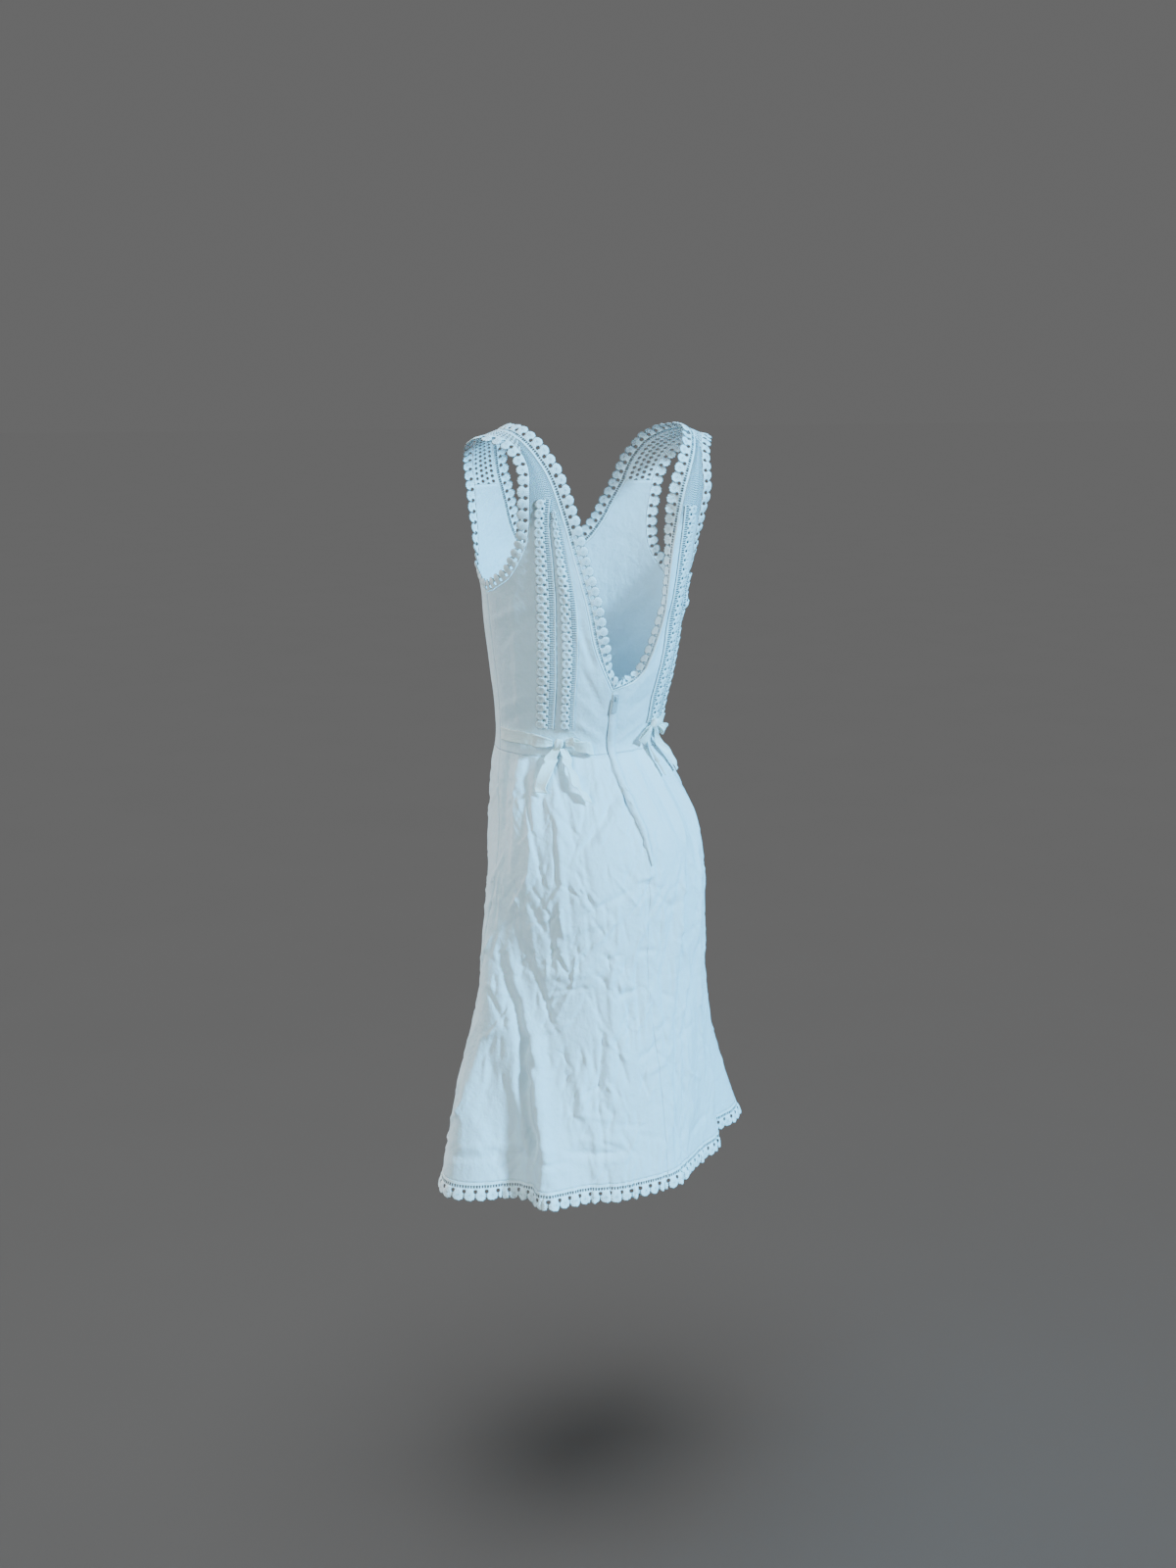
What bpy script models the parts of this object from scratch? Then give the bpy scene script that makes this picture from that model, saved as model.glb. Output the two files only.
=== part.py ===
"""Sleeveless knee-length wedding dress with a deep V back, crochet trims and a bow at each side of the waist.

Metres, +Z up. The origin lies midway between the two shoulder straps, at the height of their tops.
The front faces -Y and the wearer's left is +X. A turn is an angle about the upright axis of the
garment: 0 is the centre back, 90 the left side, 180 the centre front and -90 the right side.
Every piece of cloth is an open sheet on one shared form, thickened inwards.
"""

import math

import bmesh
import bpy
import numpy as np

CLOTH = 0.0013
LACE = 0.0013
SEAM = 0.0003
SIDE_SEAM = 0.0009
WAIST = -0.408
HEM = -0.957
CHEST = -0.075
RIDGE_FALL = 0.35
NECK_AT_RIDGE = 0.11
# A sheet's outer side faces away from this line up the middle of the garment, up to its top.
INNER_Y = -0.03
INNER_TOP = -0.16
# Edges whose ends lie closer than this share one point where they are joined.
MEETING = 0.002

# The form at each height: half width, the Y of the centre back, of the sides and of the centre
# front, and how square the outline is, where 2 is an ellipse.
FORM_COLUMNS = ("height", "half_width", "back_y", "side_y", "front_y", "square")
FORM = (
    (-0.957, 0.200, 0.160, 0.000, -0.162, 2.0),
    (-0.850, 0.174, 0.146, 0.002, -0.150, 2.0),
    (-0.720, 0.150, 0.133, 0.004, -0.138, 2.0),
    (-0.610, 0.1430, 0.126, 0.005, -0.130, 2.1),
    (-0.560, 0.1395, 0.123, 0.002, -0.130, 2.1),
    (-0.500, 0.1310, 0.104, -0.012, -0.134, 2.1),
    (-0.440, 0.1200, 0.060, -0.038, -0.138, 2.0),
    (-0.408, 0.1115, 0.036, -0.050, -0.139, 2.0),
    (-0.360, 0.112, 0.050, -0.048, -0.142, 2.0),
    (-0.312, 0.1185, 0.065, -0.042, -0.148, 2.0),
    (-0.250, 0.1275, 0.075, -0.038, -0.153, 2.0),
    (-0.190, 0.1360, 0.078, -0.033, -0.138, 2.1),
    (-0.150, 0.1460, 0.0765, -0.029, -0.128, 2.2),
    (-0.120, 0.1580, 0.075, -0.025, -0.117, 2.35),
    (-0.075, 0.1720, 0.070, -0.018, -0.098, 3.0),
)

# The powers by which a fold drifts sideways and grows on its way down.
FOLD_DRIFT = 1.6
FOLD_GROWTH = 1.3
# Folds of the skirt: the turn of each at its start and at the hem, its half width in degrees, how
# far it stands out (or in, below zero) once full, and the heights where it starts, is full and ends.
FOLD_COLUMNS = ("turn_start", "turn_hem", "half_turn", "depth", "start", "full", "end")
FOLDS = (
    (98.0, 79.0, 14.0, 0.045, -0.50, -0.82, -9.0),
    (100.0, 46.0, 9.0, 0.024, -0.58, -0.93, -9.0),
    (112.0, 60.0, 7.0, -0.012, -0.62, -0.90, -9.0),
    (-58.0, -46.0, 20.0, -0.028, -0.66, -0.95, -9.0),
    (-74.0, -75.0, 9.0, -0.040, -0.70, -0.95, -9.0),
    (-95.0, -95.0, 14.0, 0.036, -0.66, -0.95, -9.0),
    (20.0, 15.0, 8.0, 0.005, -0.70, -0.95, -9.0),
    (-12.0, -26.0, 9.0, -0.005, -0.64, -0.90, -9.0),
    (122.0, 126.0, 12.0, 0.016, -0.58, -0.95, -9.0),
    (146.0, 150.0, 12.0, -0.012, -0.60, -0.95, -9.0),
    (178.0, 176.0, 14.0, 0.018, -0.56, -0.95, -9.0),
    (-152.0, -150.0, 11.0, -0.010, -0.62, -0.95, -9.0),
    (-126.0, -128.0, 12.0, 0.014, -0.60, -0.95, -9.0),
    (62.0, 70.0, 7.0, 0.006, -0.40, -0.47, -0.66),
    (46.0, 48.0, 6.0, 0.004, -0.41, -0.46, -0.62),
    (-62.0, -66.0, 7.0, 0.005, -0.40, -0.47, -0.64),
)

# The edge of the lapped zip, which is the centre back line of both back panels, by height.
LAP_COLUMNS = ("height", "x")
LAP_EDGE = (
    (-0.957, -0.024),
    (-0.860, -0.023),
    (-0.780, -0.017),
    (-0.700, -0.008),
    (-0.640, -0.007),
    (-0.580, -0.012),
    (-0.532, -0.0152),
    (-0.497, -0.0118),
    (-0.460, -0.0057),
    (-0.408, 0.0005),
    (-0.360, 0.0070),
    (-0.324, 0.0098),
)
PANEL_ROWS_BELOW_V = (WAIST, -0.385, -0.360, -0.342)
SKIRT_ROWS = (-0.432, -0.458, -0.485, -0.515, -0.555, -0.610, -0.680, -0.760, -0.845)
SEAM_STEP = 0.003
FRONT_SEAM_TURN = 2.0
ARMHOLE_STEPS = {-0.196: 0.006, -0.184: 0.010}
PANEL_COLUMNS = {"bodice_back": 8, "skirt_back_left": 21, "skirt_back_right": 18, "skirt_front": 24}

# The two upright edges of each upper back panel, by height up to the chest. A panel with no X at
# its arm side ends at the side seam. The last row continues over the shoulder.
BACK_COLUMNS = ("height", "v_left", "v_right", "arm")
BACK_EDGES = (
    (-0.3240, 0.0098, 0.0098, None),
    (-0.3190, 0.0128, -0.0110, None),
    (-0.3060, 0.0200, -0.0335, None),
    (-0.2880, 0.0290, -0.0450, None),
    (-0.2620, 0.0388, -0.0565, None),
    (-0.2320, 0.0458, -0.0665, None),
    (-0.2030, 0.0530, -0.0696, None),
    (-0.1960, 0.0552, -0.0703, 0.1325),
    (-0.1840, 0.0585, -0.0713, 0.1272),
    (-0.1650, 0.0640, -0.0735, 0.1215),
    (-0.1420, 0.0705, -0.0765, 0.1165),
    (-0.1200, 0.0770, -0.0812, 0.1160),
    (-0.1000, 0.0835, -0.0855, 0.1175),
    (-0.0750, 0.0920, -0.0920, 0.1190),
)

# The same edges over the shoulder, from the back of the chest to the front of it: a row is an angle
# over it, 90 at the top of the strap.
STRAP_COLUMNS = ("over", "neck", "arm")
STRAP_EDGES = (
    (0.0, 0.0920, 0.1190),
    (15.0, 0.0998, 0.1180),
    (30.0, 0.1092, 0.1205),
    (45.0, 0.1170, 0.1260),
    (56.0, 0.1220, 0.1310),
    (76.0, 0.1285, 0.1425),
    (90.0, 0.1310, 0.1470),
    (110.0, 0.1260, 0.1470),
    (130.0, 0.1160, 0.1420),
    (150.0, 0.1050, 0.1350),
    (180.0, 0.0920, 0.1260),
)
SHOULDER_SEAM_NECK = 56.0
SHOULDER_SEAM_ARM = 37.0
SHOULDER_PARTS = (0.28, 0.52, 0.76, 1.0)
STRAP_WEDGE = (0.13, 0.40, 0.72)
STRAP_REPEATS = 12
STRAP_EYELET = 0.0023

# The top edge of the front panel from the left side seam, which has no X, to the centre front:
# armhole, strap end and neckline. Each row is also one column of the panel.
FRONT_TOP_COLUMNS = ("x", "height")
FRONT_TOP = (
    (None, -0.2030),
    (0.1325, -0.1960),
    (0.1285, -0.1840),
    (0.1220, -0.1620),
    (0.1205, -0.1300),
    (0.1235, -0.1000),
    (0.1260, -0.0753),
    (0.1090, -0.0753),
    (0.0920, -0.0753),
    (0.0805, -0.1020),
    (0.0690, -0.1300),
    (0.0520, -0.1550),
    (0.0280, -0.1700),
    (0.0000, -0.1750),
)
FRONT_ROWS = 8
FRONT_BEND = 3.0
STRAP_ARM_COLUMN = 6
STRAP_NECK_COLUMN = 8

# Crochet edgings: width, pitch of one scallop, depth of the scallop, the eyelet's half size, the
# distance of its centre from the heading, and the gap at the seam between the outer faces.
EDGING_COLUMNS = ("width", "pitch", "scallop", "eyelet", "centre", "gap")
EDGINGS = {
    "neck": (0.0210, 0.0125, 0.0035, 0.0022, 0.0122, 0.0004),
    "arm": (0.0150, 0.0138, 0.0032, 0.0022, 0.0072, 0.0008),
    "hem": (0.0240, 0.0142, 0.0040, 0.0022, 0.0145, 0.0004),
}
SKIRT_BOTTOM = HEM + EDGINGS["hem"][0] + SEAM

# How the trims of the V lie, by the length from its lowest point: the share of their full width,
# and the angle that each turns inwards.
V_TRIM_COLUMNS = ("length", "share", "left", "right")
V_TRIM = (
    (0.000, 0.76, 15.0, 15.0),
    (0.012, 0.62, 32.0, 40.0),
    (0.030, 0.76, 30.0, 70.0),
    (0.060, 0.97, 12.0, 100.0),
    (0.100, 1.00, 0.0, 118.0),
    (0.190, 1.00, 0.0, 116.0),
    (0.225, 1.00, 0.0, 95.0),
    (0.260, 1.00, 0.0, 60.0),
    (0.310, 1.00, 0.0, 20.0),
    (0.360, 1.00, 0.0, 0.0),
    (0.420, 1.00, 0.0, 0.0),
)
V_MITRE = (-0.0085, 0.0020, 0.0135)
V_MITRE_LENGTH = 0.030
HEADING_STEP = 0.0008
EYELET_SHARE = 0.36
HEM_JOIN = 0.0004

# Crochet strips on the upper back: the turns of the scalloped outer edge and of the straight inner
# edge of each, by height. Those of the right side are read as turns to the right.
STRIP_COLUMNS = ("height", "outer", "inner")
STRIPS = {
    "left_outer": (
        (-0.371, 57.4, 44.6),
        (-0.337, 56.4, 43.2),
        (-0.264, 54.5, 42.5),
        (-0.200, 54.5, 43.2),
        (-0.160, 55.0, 45.2),
        (-0.115, 55.0, 48.0),
        (-0.085, 54.5, 48.4),
    ),
    "left_inner": (
        (-0.371, 40.4, 30.4),
        (-0.337, 40.0, 30.4),
        (-0.262, 39.7, 29.4),
        (-0.200, 41.6, 32.3),
        (-0.159, 43.8, 36.8),
        (-0.119, 46.4, 41.8),
        (-0.098, 47.0, 44.6),
    ),
    "right_outer": (
        (-0.371, 60.5, 48.6),
        (-0.337, 59.5, 47.4),
        (-0.285, 62.0, 50.4),
        (-0.225, 64.5, 53.8),
        (-0.185, 66.0, 55.2),
    ),
    "right_inner": (
        (-0.371, 46.5, 33.5),
        (-0.337, 45.3, 31.5),
        (-0.310, 46.0, 32.5),
        (-0.285, 48.3, 34.5),
        (-0.225, 51.8, 38.5),
        (-0.157, 53.8, 43.0),
        (-0.098, 53.0, 45.0),
    ),
}
STRIP_PITCH = 0.0113
STRIP_SCALLOP = 0.0050
STRIP_OUT = 0.0022

# The lap over the zip: how the rise runs across it, and its rows by height, with the distances of its
# two edges from the centre back line and how far its middle is raised.
ZIP_LAP_RISE = (0.35, 1.0, 1.0, 0.0)
ZIP_LAP_COLUMNS = ("height", "near", "far", "raised")
ZIP_LAP = (
    (-0.3370, 0.0004, 0.0090, 0.0004),
    (-0.3600, 0.0004, 0.0092, 0.0006),
    (-0.3850, 0.0004, 0.0094, 0.0006),
    (-0.4080, 0.0004, 0.0096, 0.0008),
    (-0.4320, 0.0004, 0.0096, 0.0016),
    (-0.4580, 0.0004, 0.0093, 0.0024),
    (-0.4850, 0.0006, 0.0084, 0.0022),
    (-0.5150, 0.0008, 0.0074, 0.0022),
    (-0.5360, 0.0024, 0.0056, 0.0006),
)
SLIDER_HEIGHT = -0.3315
SLIDER_FROM_LAP = 0.0052
SLIDER_BODY = 0.0018
SLIDER_TUNNEL = 0.0023
SLIDER_BAR = 0.0009
SLIDER_HALF_WIDTH = 0.0035
SLIDER_HALF_LENGTH = 0.0045
BRIDGE_HALF_WIDTH = 0.0009
BRIDGE_INNER = 0.0016
BRIDGE_OUTER = 0.0026
TAB_HALF_WIDTH = 0.00325
TAB_HOLE_HALF_WIDTH = 0.0017
TAB_BAR = 0.0006
TAB_HOLE_END = 0.0042
TAB_LENGTH = 0.0200
TAB_THICKNESS = 0.0012

# Ribbons of the two bows, row by row along each: the turn and height of its middle, how far that
# stands out, the width, the lean of the width away from level, and its roll about the ribbon.
RIBBON = 0.0013
RIBBON_COLUMNS = ("turn", "height", "out", "width", "lean", "roll")
RIBBONS = {
    "tie_left_band": (
        (45.6, -0.3880, 0.0044, 0.0085, 90, 0),
        (49.0, -0.3878, 0.0040, 0.0120, 92, 0),
        (55.0, -0.3865, 0.0036, 0.0155, 93, 0),
        (62.0, -0.3855, 0.0030, 0.0165, 92, 0),
        (69.0, -0.3850, 0.0026, 0.0165, 91, 0),
        (76.0, -0.3850, 0.0023, 0.0165, 90, 0),
        (82.0, -0.3850, 0.0020, 0.0165, 90, 0),
        (88.0, -0.3850, 0.0016, 0.0165, 90, 0),
    ),
    "tie_left_loop_large": (
        (36.2, -0.3875, 0.0066, 0.0060, 90, 0),
        (30.5, -0.3862, 0.0100, 0.0120, 88, 0),
        (23.0, -0.3890, 0.0112, 0.0160, 84, 0),
        (17.5, -0.3945, 0.0098, 0.0160, 78, 0),
        (15.8, -0.3975, 0.0068, 0.0155, 76, 0),
        (17.6, -0.3950, 0.0046, 0.0155, 78, 0),
        (23.5, -0.3915, 0.0040, 0.0145, 84, 0),
        (30.5, -0.3892, 0.0034, 0.0110, 88, 0),
        (36.0, -0.3885, 0.0034, 0.0060, 90, 0),
    ),
    "tie_left_loop_small": (
        (45.1, -0.3860, 0.0092, 0.0050, 92, 0),
        (50.0, -0.3835, 0.0125, 0.0110, 95, 0),
        (55.0, -0.3830, 0.0125, 0.0140, 98, 0),
        (58.0, -0.3842, 0.0102, 0.0145, 98, 0),
        (56.0, -0.3850, 0.0076, 0.0140, 98, 0),
        (51.0, -0.3855, 0.0068, 0.0110, 95, 0),
        (45.6, -0.3875, 0.0068, 0.0050, 92, 0),
    ),
    "tie_left_tail_front": (
        (38.8, -0.3962, 0.0050, 0.0052, 5, -6),
        (36.8, -0.4090, 0.0060, 0.0100, 14, -22),
        (33.6, -0.4260, 0.0064, 0.0115, 20, -32),
        (30.0, -0.4440, 0.0062, 0.0115, 24, -26),
        (26.0, -0.4610, 0.0056, 0.0120, 26, -14),
    ),
    "tie_left_tail_back": (
        (43.0, -0.3962, 0.0050, 0.0056, -8, 0),
        (46.5, -0.4080, 0.0052, 0.0140, -14, -6),
        (50.0, -0.4230, 0.0046, 0.0168, -14, -8),
        (52.5, -0.4380, 0.0042, 0.0172, -10, -8),
        (54.5, -0.4526, 0.0044, 0.0172, -8, -6),
    ),
    "tie_right_band": (
        (-44.6, -0.3715, 0.0046, 0.0085, 90, 0),
        (-49.0, -0.3720, 0.0046, 0.0130, 90, 0),
        (-55.0, -0.3733, 0.0045, 0.0160, 91, 0),
        (-62.0, -0.3760, 0.0044, 0.0165, 92, 0),
        (-69.0, -0.3795, 0.0034, 0.0165, 92, 0),
        (-76.0, -0.3825, 0.0026, 0.0165, 91, 0),
        (-82.0, -0.3840, 0.0021, 0.0165, 90, 0),
        (-88.0, -0.3850, 0.0016, 0.0165, 90, 0),
    ),
    "tie_right_loop_large": (
        (-36.0, -0.3745, 0.0076, 0.0050, 60, 0),
        (-32.4, -0.3800, 0.0110, 0.0110, 48, 0),
        (-30.0, -0.3885, 0.0112, 0.0140, 38, 0),
        (-29.4, -0.3950, 0.0090, 0.0140, 30, 0),
        (-30.6, -0.3960, 0.0064, 0.0130, 32, 0),
        (-32.4, -0.3890, 0.0044, 0.0120, 40, 0),
        (-34.6, -0.3810, 0.0042, 0.0090, 48, 0),
        (-36.8, -0.3762, 0.0044, 0.0050, 60, 0),
    ),
    "tie_right_loop_small": (
        (-43.7, -0.3735, 0.0096, 0.0050, -62, 0),
        (-49.0, -0.3765, 0.0136, 0.0105, -58, 0),
        (-53.0, -0.3815, 0.0140, 0.0130, -52, 0),
        (-54.6, -0.3860, 0.0116, 0.0130, -48, 0),
        (-53.0, -0.3840, 0.0088, 0.0120, -52, 0),
        (-48.8, -0.3790, 0.0078, 0.0090, -58, 0),
        (-44.5, -0.3752, 0.0074, 0.0045, -62, 0),
    ),
    "tie_right_tail_front": (
        (-39.0, -0.3802, 0.0052, 0.0055, 0, 8),
        (-38.8, -0.3930, 0.0054, 0.0120, 0, 18),
        (-39.2, -0.4080, 0.0054, 0.0150, 0, 24),
        (-40.4, -0.4260, 0.0052, 0.0155, -2, 20),
        (-41.7, -0.4430, 0.0050, 0.0155, -4, 14),
    ),
    "tie_right_tail_back": (
        (-42.2, -0.3781, 0.0066, 0.0046, 16, -10),
        (-48.6, -0.3930, 0.0080, 0.0110, 20, -22),
        (-52.6, -0.4080, 0.0084, 0.0140, 20, -26),
        (-56.0, -0.4260, 0.0074, 0.0145, 16, -20),
        (-58.5, -0.4430, 0.0064, 0.0145, 12, -14),
    ),
}
KNOT_COLUMNS = ("turn", "height", "out")
KNOTS = {"tie_left_knot": (41.0, -0.388, 0.0078), "tie_right_knot": (-39.8, -0.3715, 0.0078)}
KNOT_HALF_SIZE = (0.0082, 0.0076, 0.0051)

CREAM = (0.86, 0.88, 0.86, 1.0)
LACE_CREAM = (0.84, 0.86, 0.83, 1.0)
ZIP_WHITE = (0.80, 0.80, 0.76, 1.0)


def smooth(x, xs, ys):
    """Value at x of a smooth curve through the points xs, ys: a cubic between each two of them."""
    xs = np.asarray(xs, float)
    ys = np.asarray(ys, float)
    x = np.asarray(x, float)
    slopes = np.gradient(ys, xs)
    i = np.clip(np.searchsorted(xs, x) - 1, 0, len(xs) - 2)
    step = xs[i + 1] - xs[i]
    t = np.clip((x - xs[i]) / step, 0.0, 1.0)
    start = (2 * t**3 - 3 * t**2 + 1) * ys[i] + (t**3 - 2 * t**2 + t) * step * slopes[i]
    return start + (3 * t**2 - 2 * t**3) * ys[i + 1] + (t**3 - t**2) * step * slopes[i + 1]


def table_value(rows, columns, key, name, x):
    """The column called name of a table, read smoothly at x along the column called key."""
    keys = [row[columns.index(key)] for row in rows]
    values = [row[columns.index(name)] for row in rows]
    return smooth(x, keys, values)


def ease(t):
    """0 below 0, 1 above 1, and a soft step between."""
    t = np.clip(t, 0.0, 1.0)
    return t * t * (3 - 2 * t)


def form(name, height):
    return table_value(FORM, FORM_COLUMNS, "height", name, height)


def fold_reach(height, turn):
    """How far the folds stand out at a height and a turn in degrees: a bell for each fold."""
    total = np.zeros(np.broadcast(height, turn).shape)
    for turn_start, turn_hem, half_turn, depth, start, full, end in FOLDS:
        grown = np.clip((start - height) / (start - full), 0.0, 1.0)
        left = 1 - ease((full - height) / (full - end))
        above = 1 - np.clip((start - height) / (start - HEM), 0.0, 1.0)
        middle = turn_hem + (turn_start - turn_hem) * above**FOLD_DRIFT
        away = (turn - middle + 180) % 360 - 180
        total = total + depth * grown**FOLD_GROWTH * left * np.exp(-((away / half_turn) ** 2))
    return total


def surface(height, turn):
    """The outer face of the cloth. Its reach from the axis is
    ((|sin| / half width)^n + (|cos| / depth)^n)^(-1/n), plus the folds."""
    height, turn = np.broadcast_arrays(np.asarray(height, float), np.asarray(turn, float))
    angle = np.radians(turn)
    sine, cosine = np.sin(angle), np.cos(angle)
    side_y = form("side_y", height)
    depth = np.where(cosine > 0, form("back_y", height) - side_y, side_y - form("front_y", height))
    n = form("square", height)
    reach = ((np.abs(sine) / form("half_width", height)) ** n + (np.abs(cosine) / depth) ** n) ** (-1 / n)
    reach = reach + fold_reach(height, turn)
    return np.stack([reach * sine, side_y + reach * cosine, height], axis=-1)


def directions(height, turn):
    """The unit vectors round, up and out of the form at a height and a turn."""
    around = unit(surface(height, turn + 0.5) - surface(height, turn - 0.5))
    upward = unit(surface(height + 0.002, turn) - surface(height - 0.002, turn))
    out = unit(np.cross(upward, around))
    return around, unit(np.cross(around, out)), out


def over_shoulder(over, chest):
    """A point of the chest line carried over the shoulder: a quarter of an ellipse up to the ridge
    of the strap at 90 degrees, and another down its front."""
    over = np.radians(np.asarray(over, float))
    ridge = -RIDGE_FALL * np.maximum(np.abs(chest[..., 0]) - NECK_AT_RIDGE, 0.0)
    y = chest[..., 1] * np.abs(np.cos(over))
    z = CHEST + (ridge - CHEST) * np.sin(over)
    return np.stack([chest[..., 0], y, z], axis=-1)


def turn_at_x(height, x, front=False):
    """The turn, on the back half or the front half, where the form has this X."""
    side = 180.0 if front else 0.0
    half = side + np.arange(-90.0, 90.5, 0.5)
    xs = surface(height, half)[:, 0]
    order = np.argsort(xs)
    return float(np.interp(x, xs[order], half[order]))


def side_gap(height):
    """Half of a side seam's gap at the outer faces, in degrees of turn."""
    return float(np.degrees(SIDE_SEAM / 2 / form("half_width", height)))


def lap_x(height):
    return float(table_value(LAP_EDGE, LAP_COLUMNS, "height", "x", height))


def row_between(height, first, last, count, beside_first=None, beside_last=None):
    """count + 1 points of the form at one height between two turns, at even steps along the cloth
    but for a first and a last step of the lengths given. Short steps at a seam keep the walls of
    both panels square to it."""
    turns = np.arange(-180.0, 360.5, 0.5)
    steps = np.linalg.norm(np.diff(surface(height, turns), axis=0), axis=1)
    length = np.concatenate([[0.0], np.cumsum(steps)])
    start, end = np.interp([first, last], turns, length)
    way = math.copysign(1.0, end - start)
    inner_start = start if beside_first is None else start + way * beside_first
    inner_end = end if beside_last is None else end - way * beside_last
    inner_count = count - (beside_first is not None) - (beside_last is not None)
    along = np.linspace(inner_start, inner_end, inner_count + 1)
    if beside_first is not None:
        along = np.concatenate([[start], along])
    if beside_last is not None:
        along = np.concatenate([along, [end]])
    return surface(height, np.interp(along, length, turns))


def unit(vectors):
    return vectors / np.linalg.norm(vectors, axis=-1, keepdims=True)


def sheet_normals(sheet):
    """The outward normal at each point of a sheet, from its neighbours along and across."""
    down = np.gradient(sheet, axis=0)
    along = np.gradient(sheet, axis=1)
    normals = unit(np.cross(along, down))
    inner = np.array([0.0, INNER_Y, 0.0]) + np.minimum(sheet[..., 2:], INNER_TOP) * np.array([0.0, 0.0, 1.0])
    outward = np.sign(np.sum(normals * (sheet - inner)))
    return normals * outward


class Edge:
    """One edge of a sheet: its points, the outward normal there, and the way on past the edge."""

    def __init__(self, points, normals, onward):
        self.points = points
        self.normals = normals
        self.onward = onward
        steps = np.linalg.norm(np.diff(points, axis=0), axis=1)
        self.length = np.concatenate([[0.0], np.cumsum(steps)])

    def at(self, length):
        """Points, normals and onward ways at lengths along the edge."""
        found = []
        for values in (self.points, self.normals, self.onward):
            found.append(np.stack([np.interp(length, self.length, values[:, k]) for k in range(3)], axis=-1))
        return found[0], unit(found[1]), unit(found[2])

    def reversed(self):
        return Edge(self.points[::-1], self.normals[::-1], self.onward[::-1])

    def joined(self, other):
        """This edge and the next one on, whose first point is left out where it meets this one."""
        skip = 1 if np.linalg.norm(self.points[-1] - other.points[0]) < MEETING else 0
        return Edge(
            np.concatenate([self.points, other.points[skip:]]),
            np.concatenate([self.normals, other.normals[skip:]]),
            np.concatenate([self.onward, other.onward[skip:]]),
        )

    def trimmed(self, at_start, at_end):
        """The edge without a length at its start and another at its end."""
        last = self.length[-1] - at_end
        inside = (self.length > at_start + 1e-4) & (self.length < last - 1e-4)
        length = np.concatenate([[at_start], self.length[inside], [last]])
        return Edge(*self.at(length))


def edge_of(sheet, side, first=0, last=None):
    """An edge of a sheet: "start" or "end" of its rows, or its "top" or "bottom" row."""
    normals = sheet_normals(sheet)
    pick = {
        "start": (sheet[:, 0], sheet[:, 1], normals[:, 0]),
        "end": (sheet[:, -1], sheet[:, -2], normals[:, -1]),
        "bottom": (sheet[0], sheet[1], normals[0]),
        "top": (sheet[-1], sheet[-2], normals[-1]),
    }
    points, inner, normal = (values[first:last] for values in pick[side])
    tangent = unit(np.gradient(points, axis=0))
    onward = unit(np.cross(tangent, normal))
    onward = onward * np.sign(np.sum(onward * (points - inner)))
    return Edge(points, normal, onward)


def match(first, first_end, second, second_end):
    """Gives two edges one shared onward way and normal where they meet. An end is 0 or -1."""
    for name in ("onward", "normals"):
        one, other = getattr(first, name), getattr(second, name)
        shared = unit(one[first_end] + other[second_end])
        one[first_end] = shared
        other[second_end] = shared


def material(name, colour, roughness, metallic=0.0):
    made = bpy.data.materials.get(name) or bpy.data.materials.new(name)
    made.use_nodes = True
    shader = made.node_tree.nodes["Principled BSDF"]
    shader.inputs["Base Color"].default_value = colour
    shader.inputs["Roughness"].default_value = roughness
    shader.inputs["Metallic"].default_value = metallic
    return made


def collection():
    found = bpy.data.collections.get("wedding_dress")
    if found is None:
        found = bpy.data.collections.new("wedding_dress")
        bpy.context.scene.collection.children.link(found)
    return found


def add_object(name, points, faces, finish):
    mesh = bpy.data.meshes.new(name)
    mesh.from_pydata([tuple(point) for point in points], [], faces)
    mesh.materials.append(finish)
    mesh.shade_smooth()
    obj = bpy.data.objects.new(name, mesh)
    collection().objects.link(obj)
    return obj


def thicken(obj, wall):
    """A wall inwards from the sheet, after its faces are turned outwards."""
    mesh = obj.data
    total = 0.0
    for face in mesh.polygons:
        inner = (0.0, INNER_Y, min(face.center.z, INNER_TOP))
        total += sum(face.normal[k] * (face.center[k] - inner[k]) for k in range(3)) * face.area
    if total < 0:
        mesh.flip_normals()
    solid = obj.modifiers.new("Wall", "SOLIDIFY")
    solid.thickness = wall
    solid.offset = -1.0
    return obj


def grid_faces(rows, columns):
    faces = []
    for row in range(rows - 1):
        for column in range(columns - 1):
            corner = row * columns + column
            faces.append((corner, corner + 1, corner + 1 + columns, corner + columns))
    return faces


def sheet_object(name, sheet, wall, finish):
    rows, columns = sheet.shape[:2]
    obj = add_object(name, sheet.reshape(-1, 3), grid_faces(rows, columns), finish)
    return thicken(obj, wall)


def strap_points(side, over, x):
    """Points at angles over the shoulder and distances x from the middle of the garment."""
    turns = [turn_at_x(CHEST, side * one_x, front=one_over > 90.0) for one_over, one_x in zip(over, x)]
    return over_shoulder(over, surface(CHEST, np.array(turns)))


def across_strap(over, share):
    """The distance from the middle of the garment, at a share of the strap's width from the neck."""
    neck = table_value(STRAP_EDGES, STRAP_COLUMNS, "over", "neck", over)
    arm = table_value(STRAP_EDGES, STRAP_COLUMNS, "over", "arm", over)
    return neck + (arm - neck) * share


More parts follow.
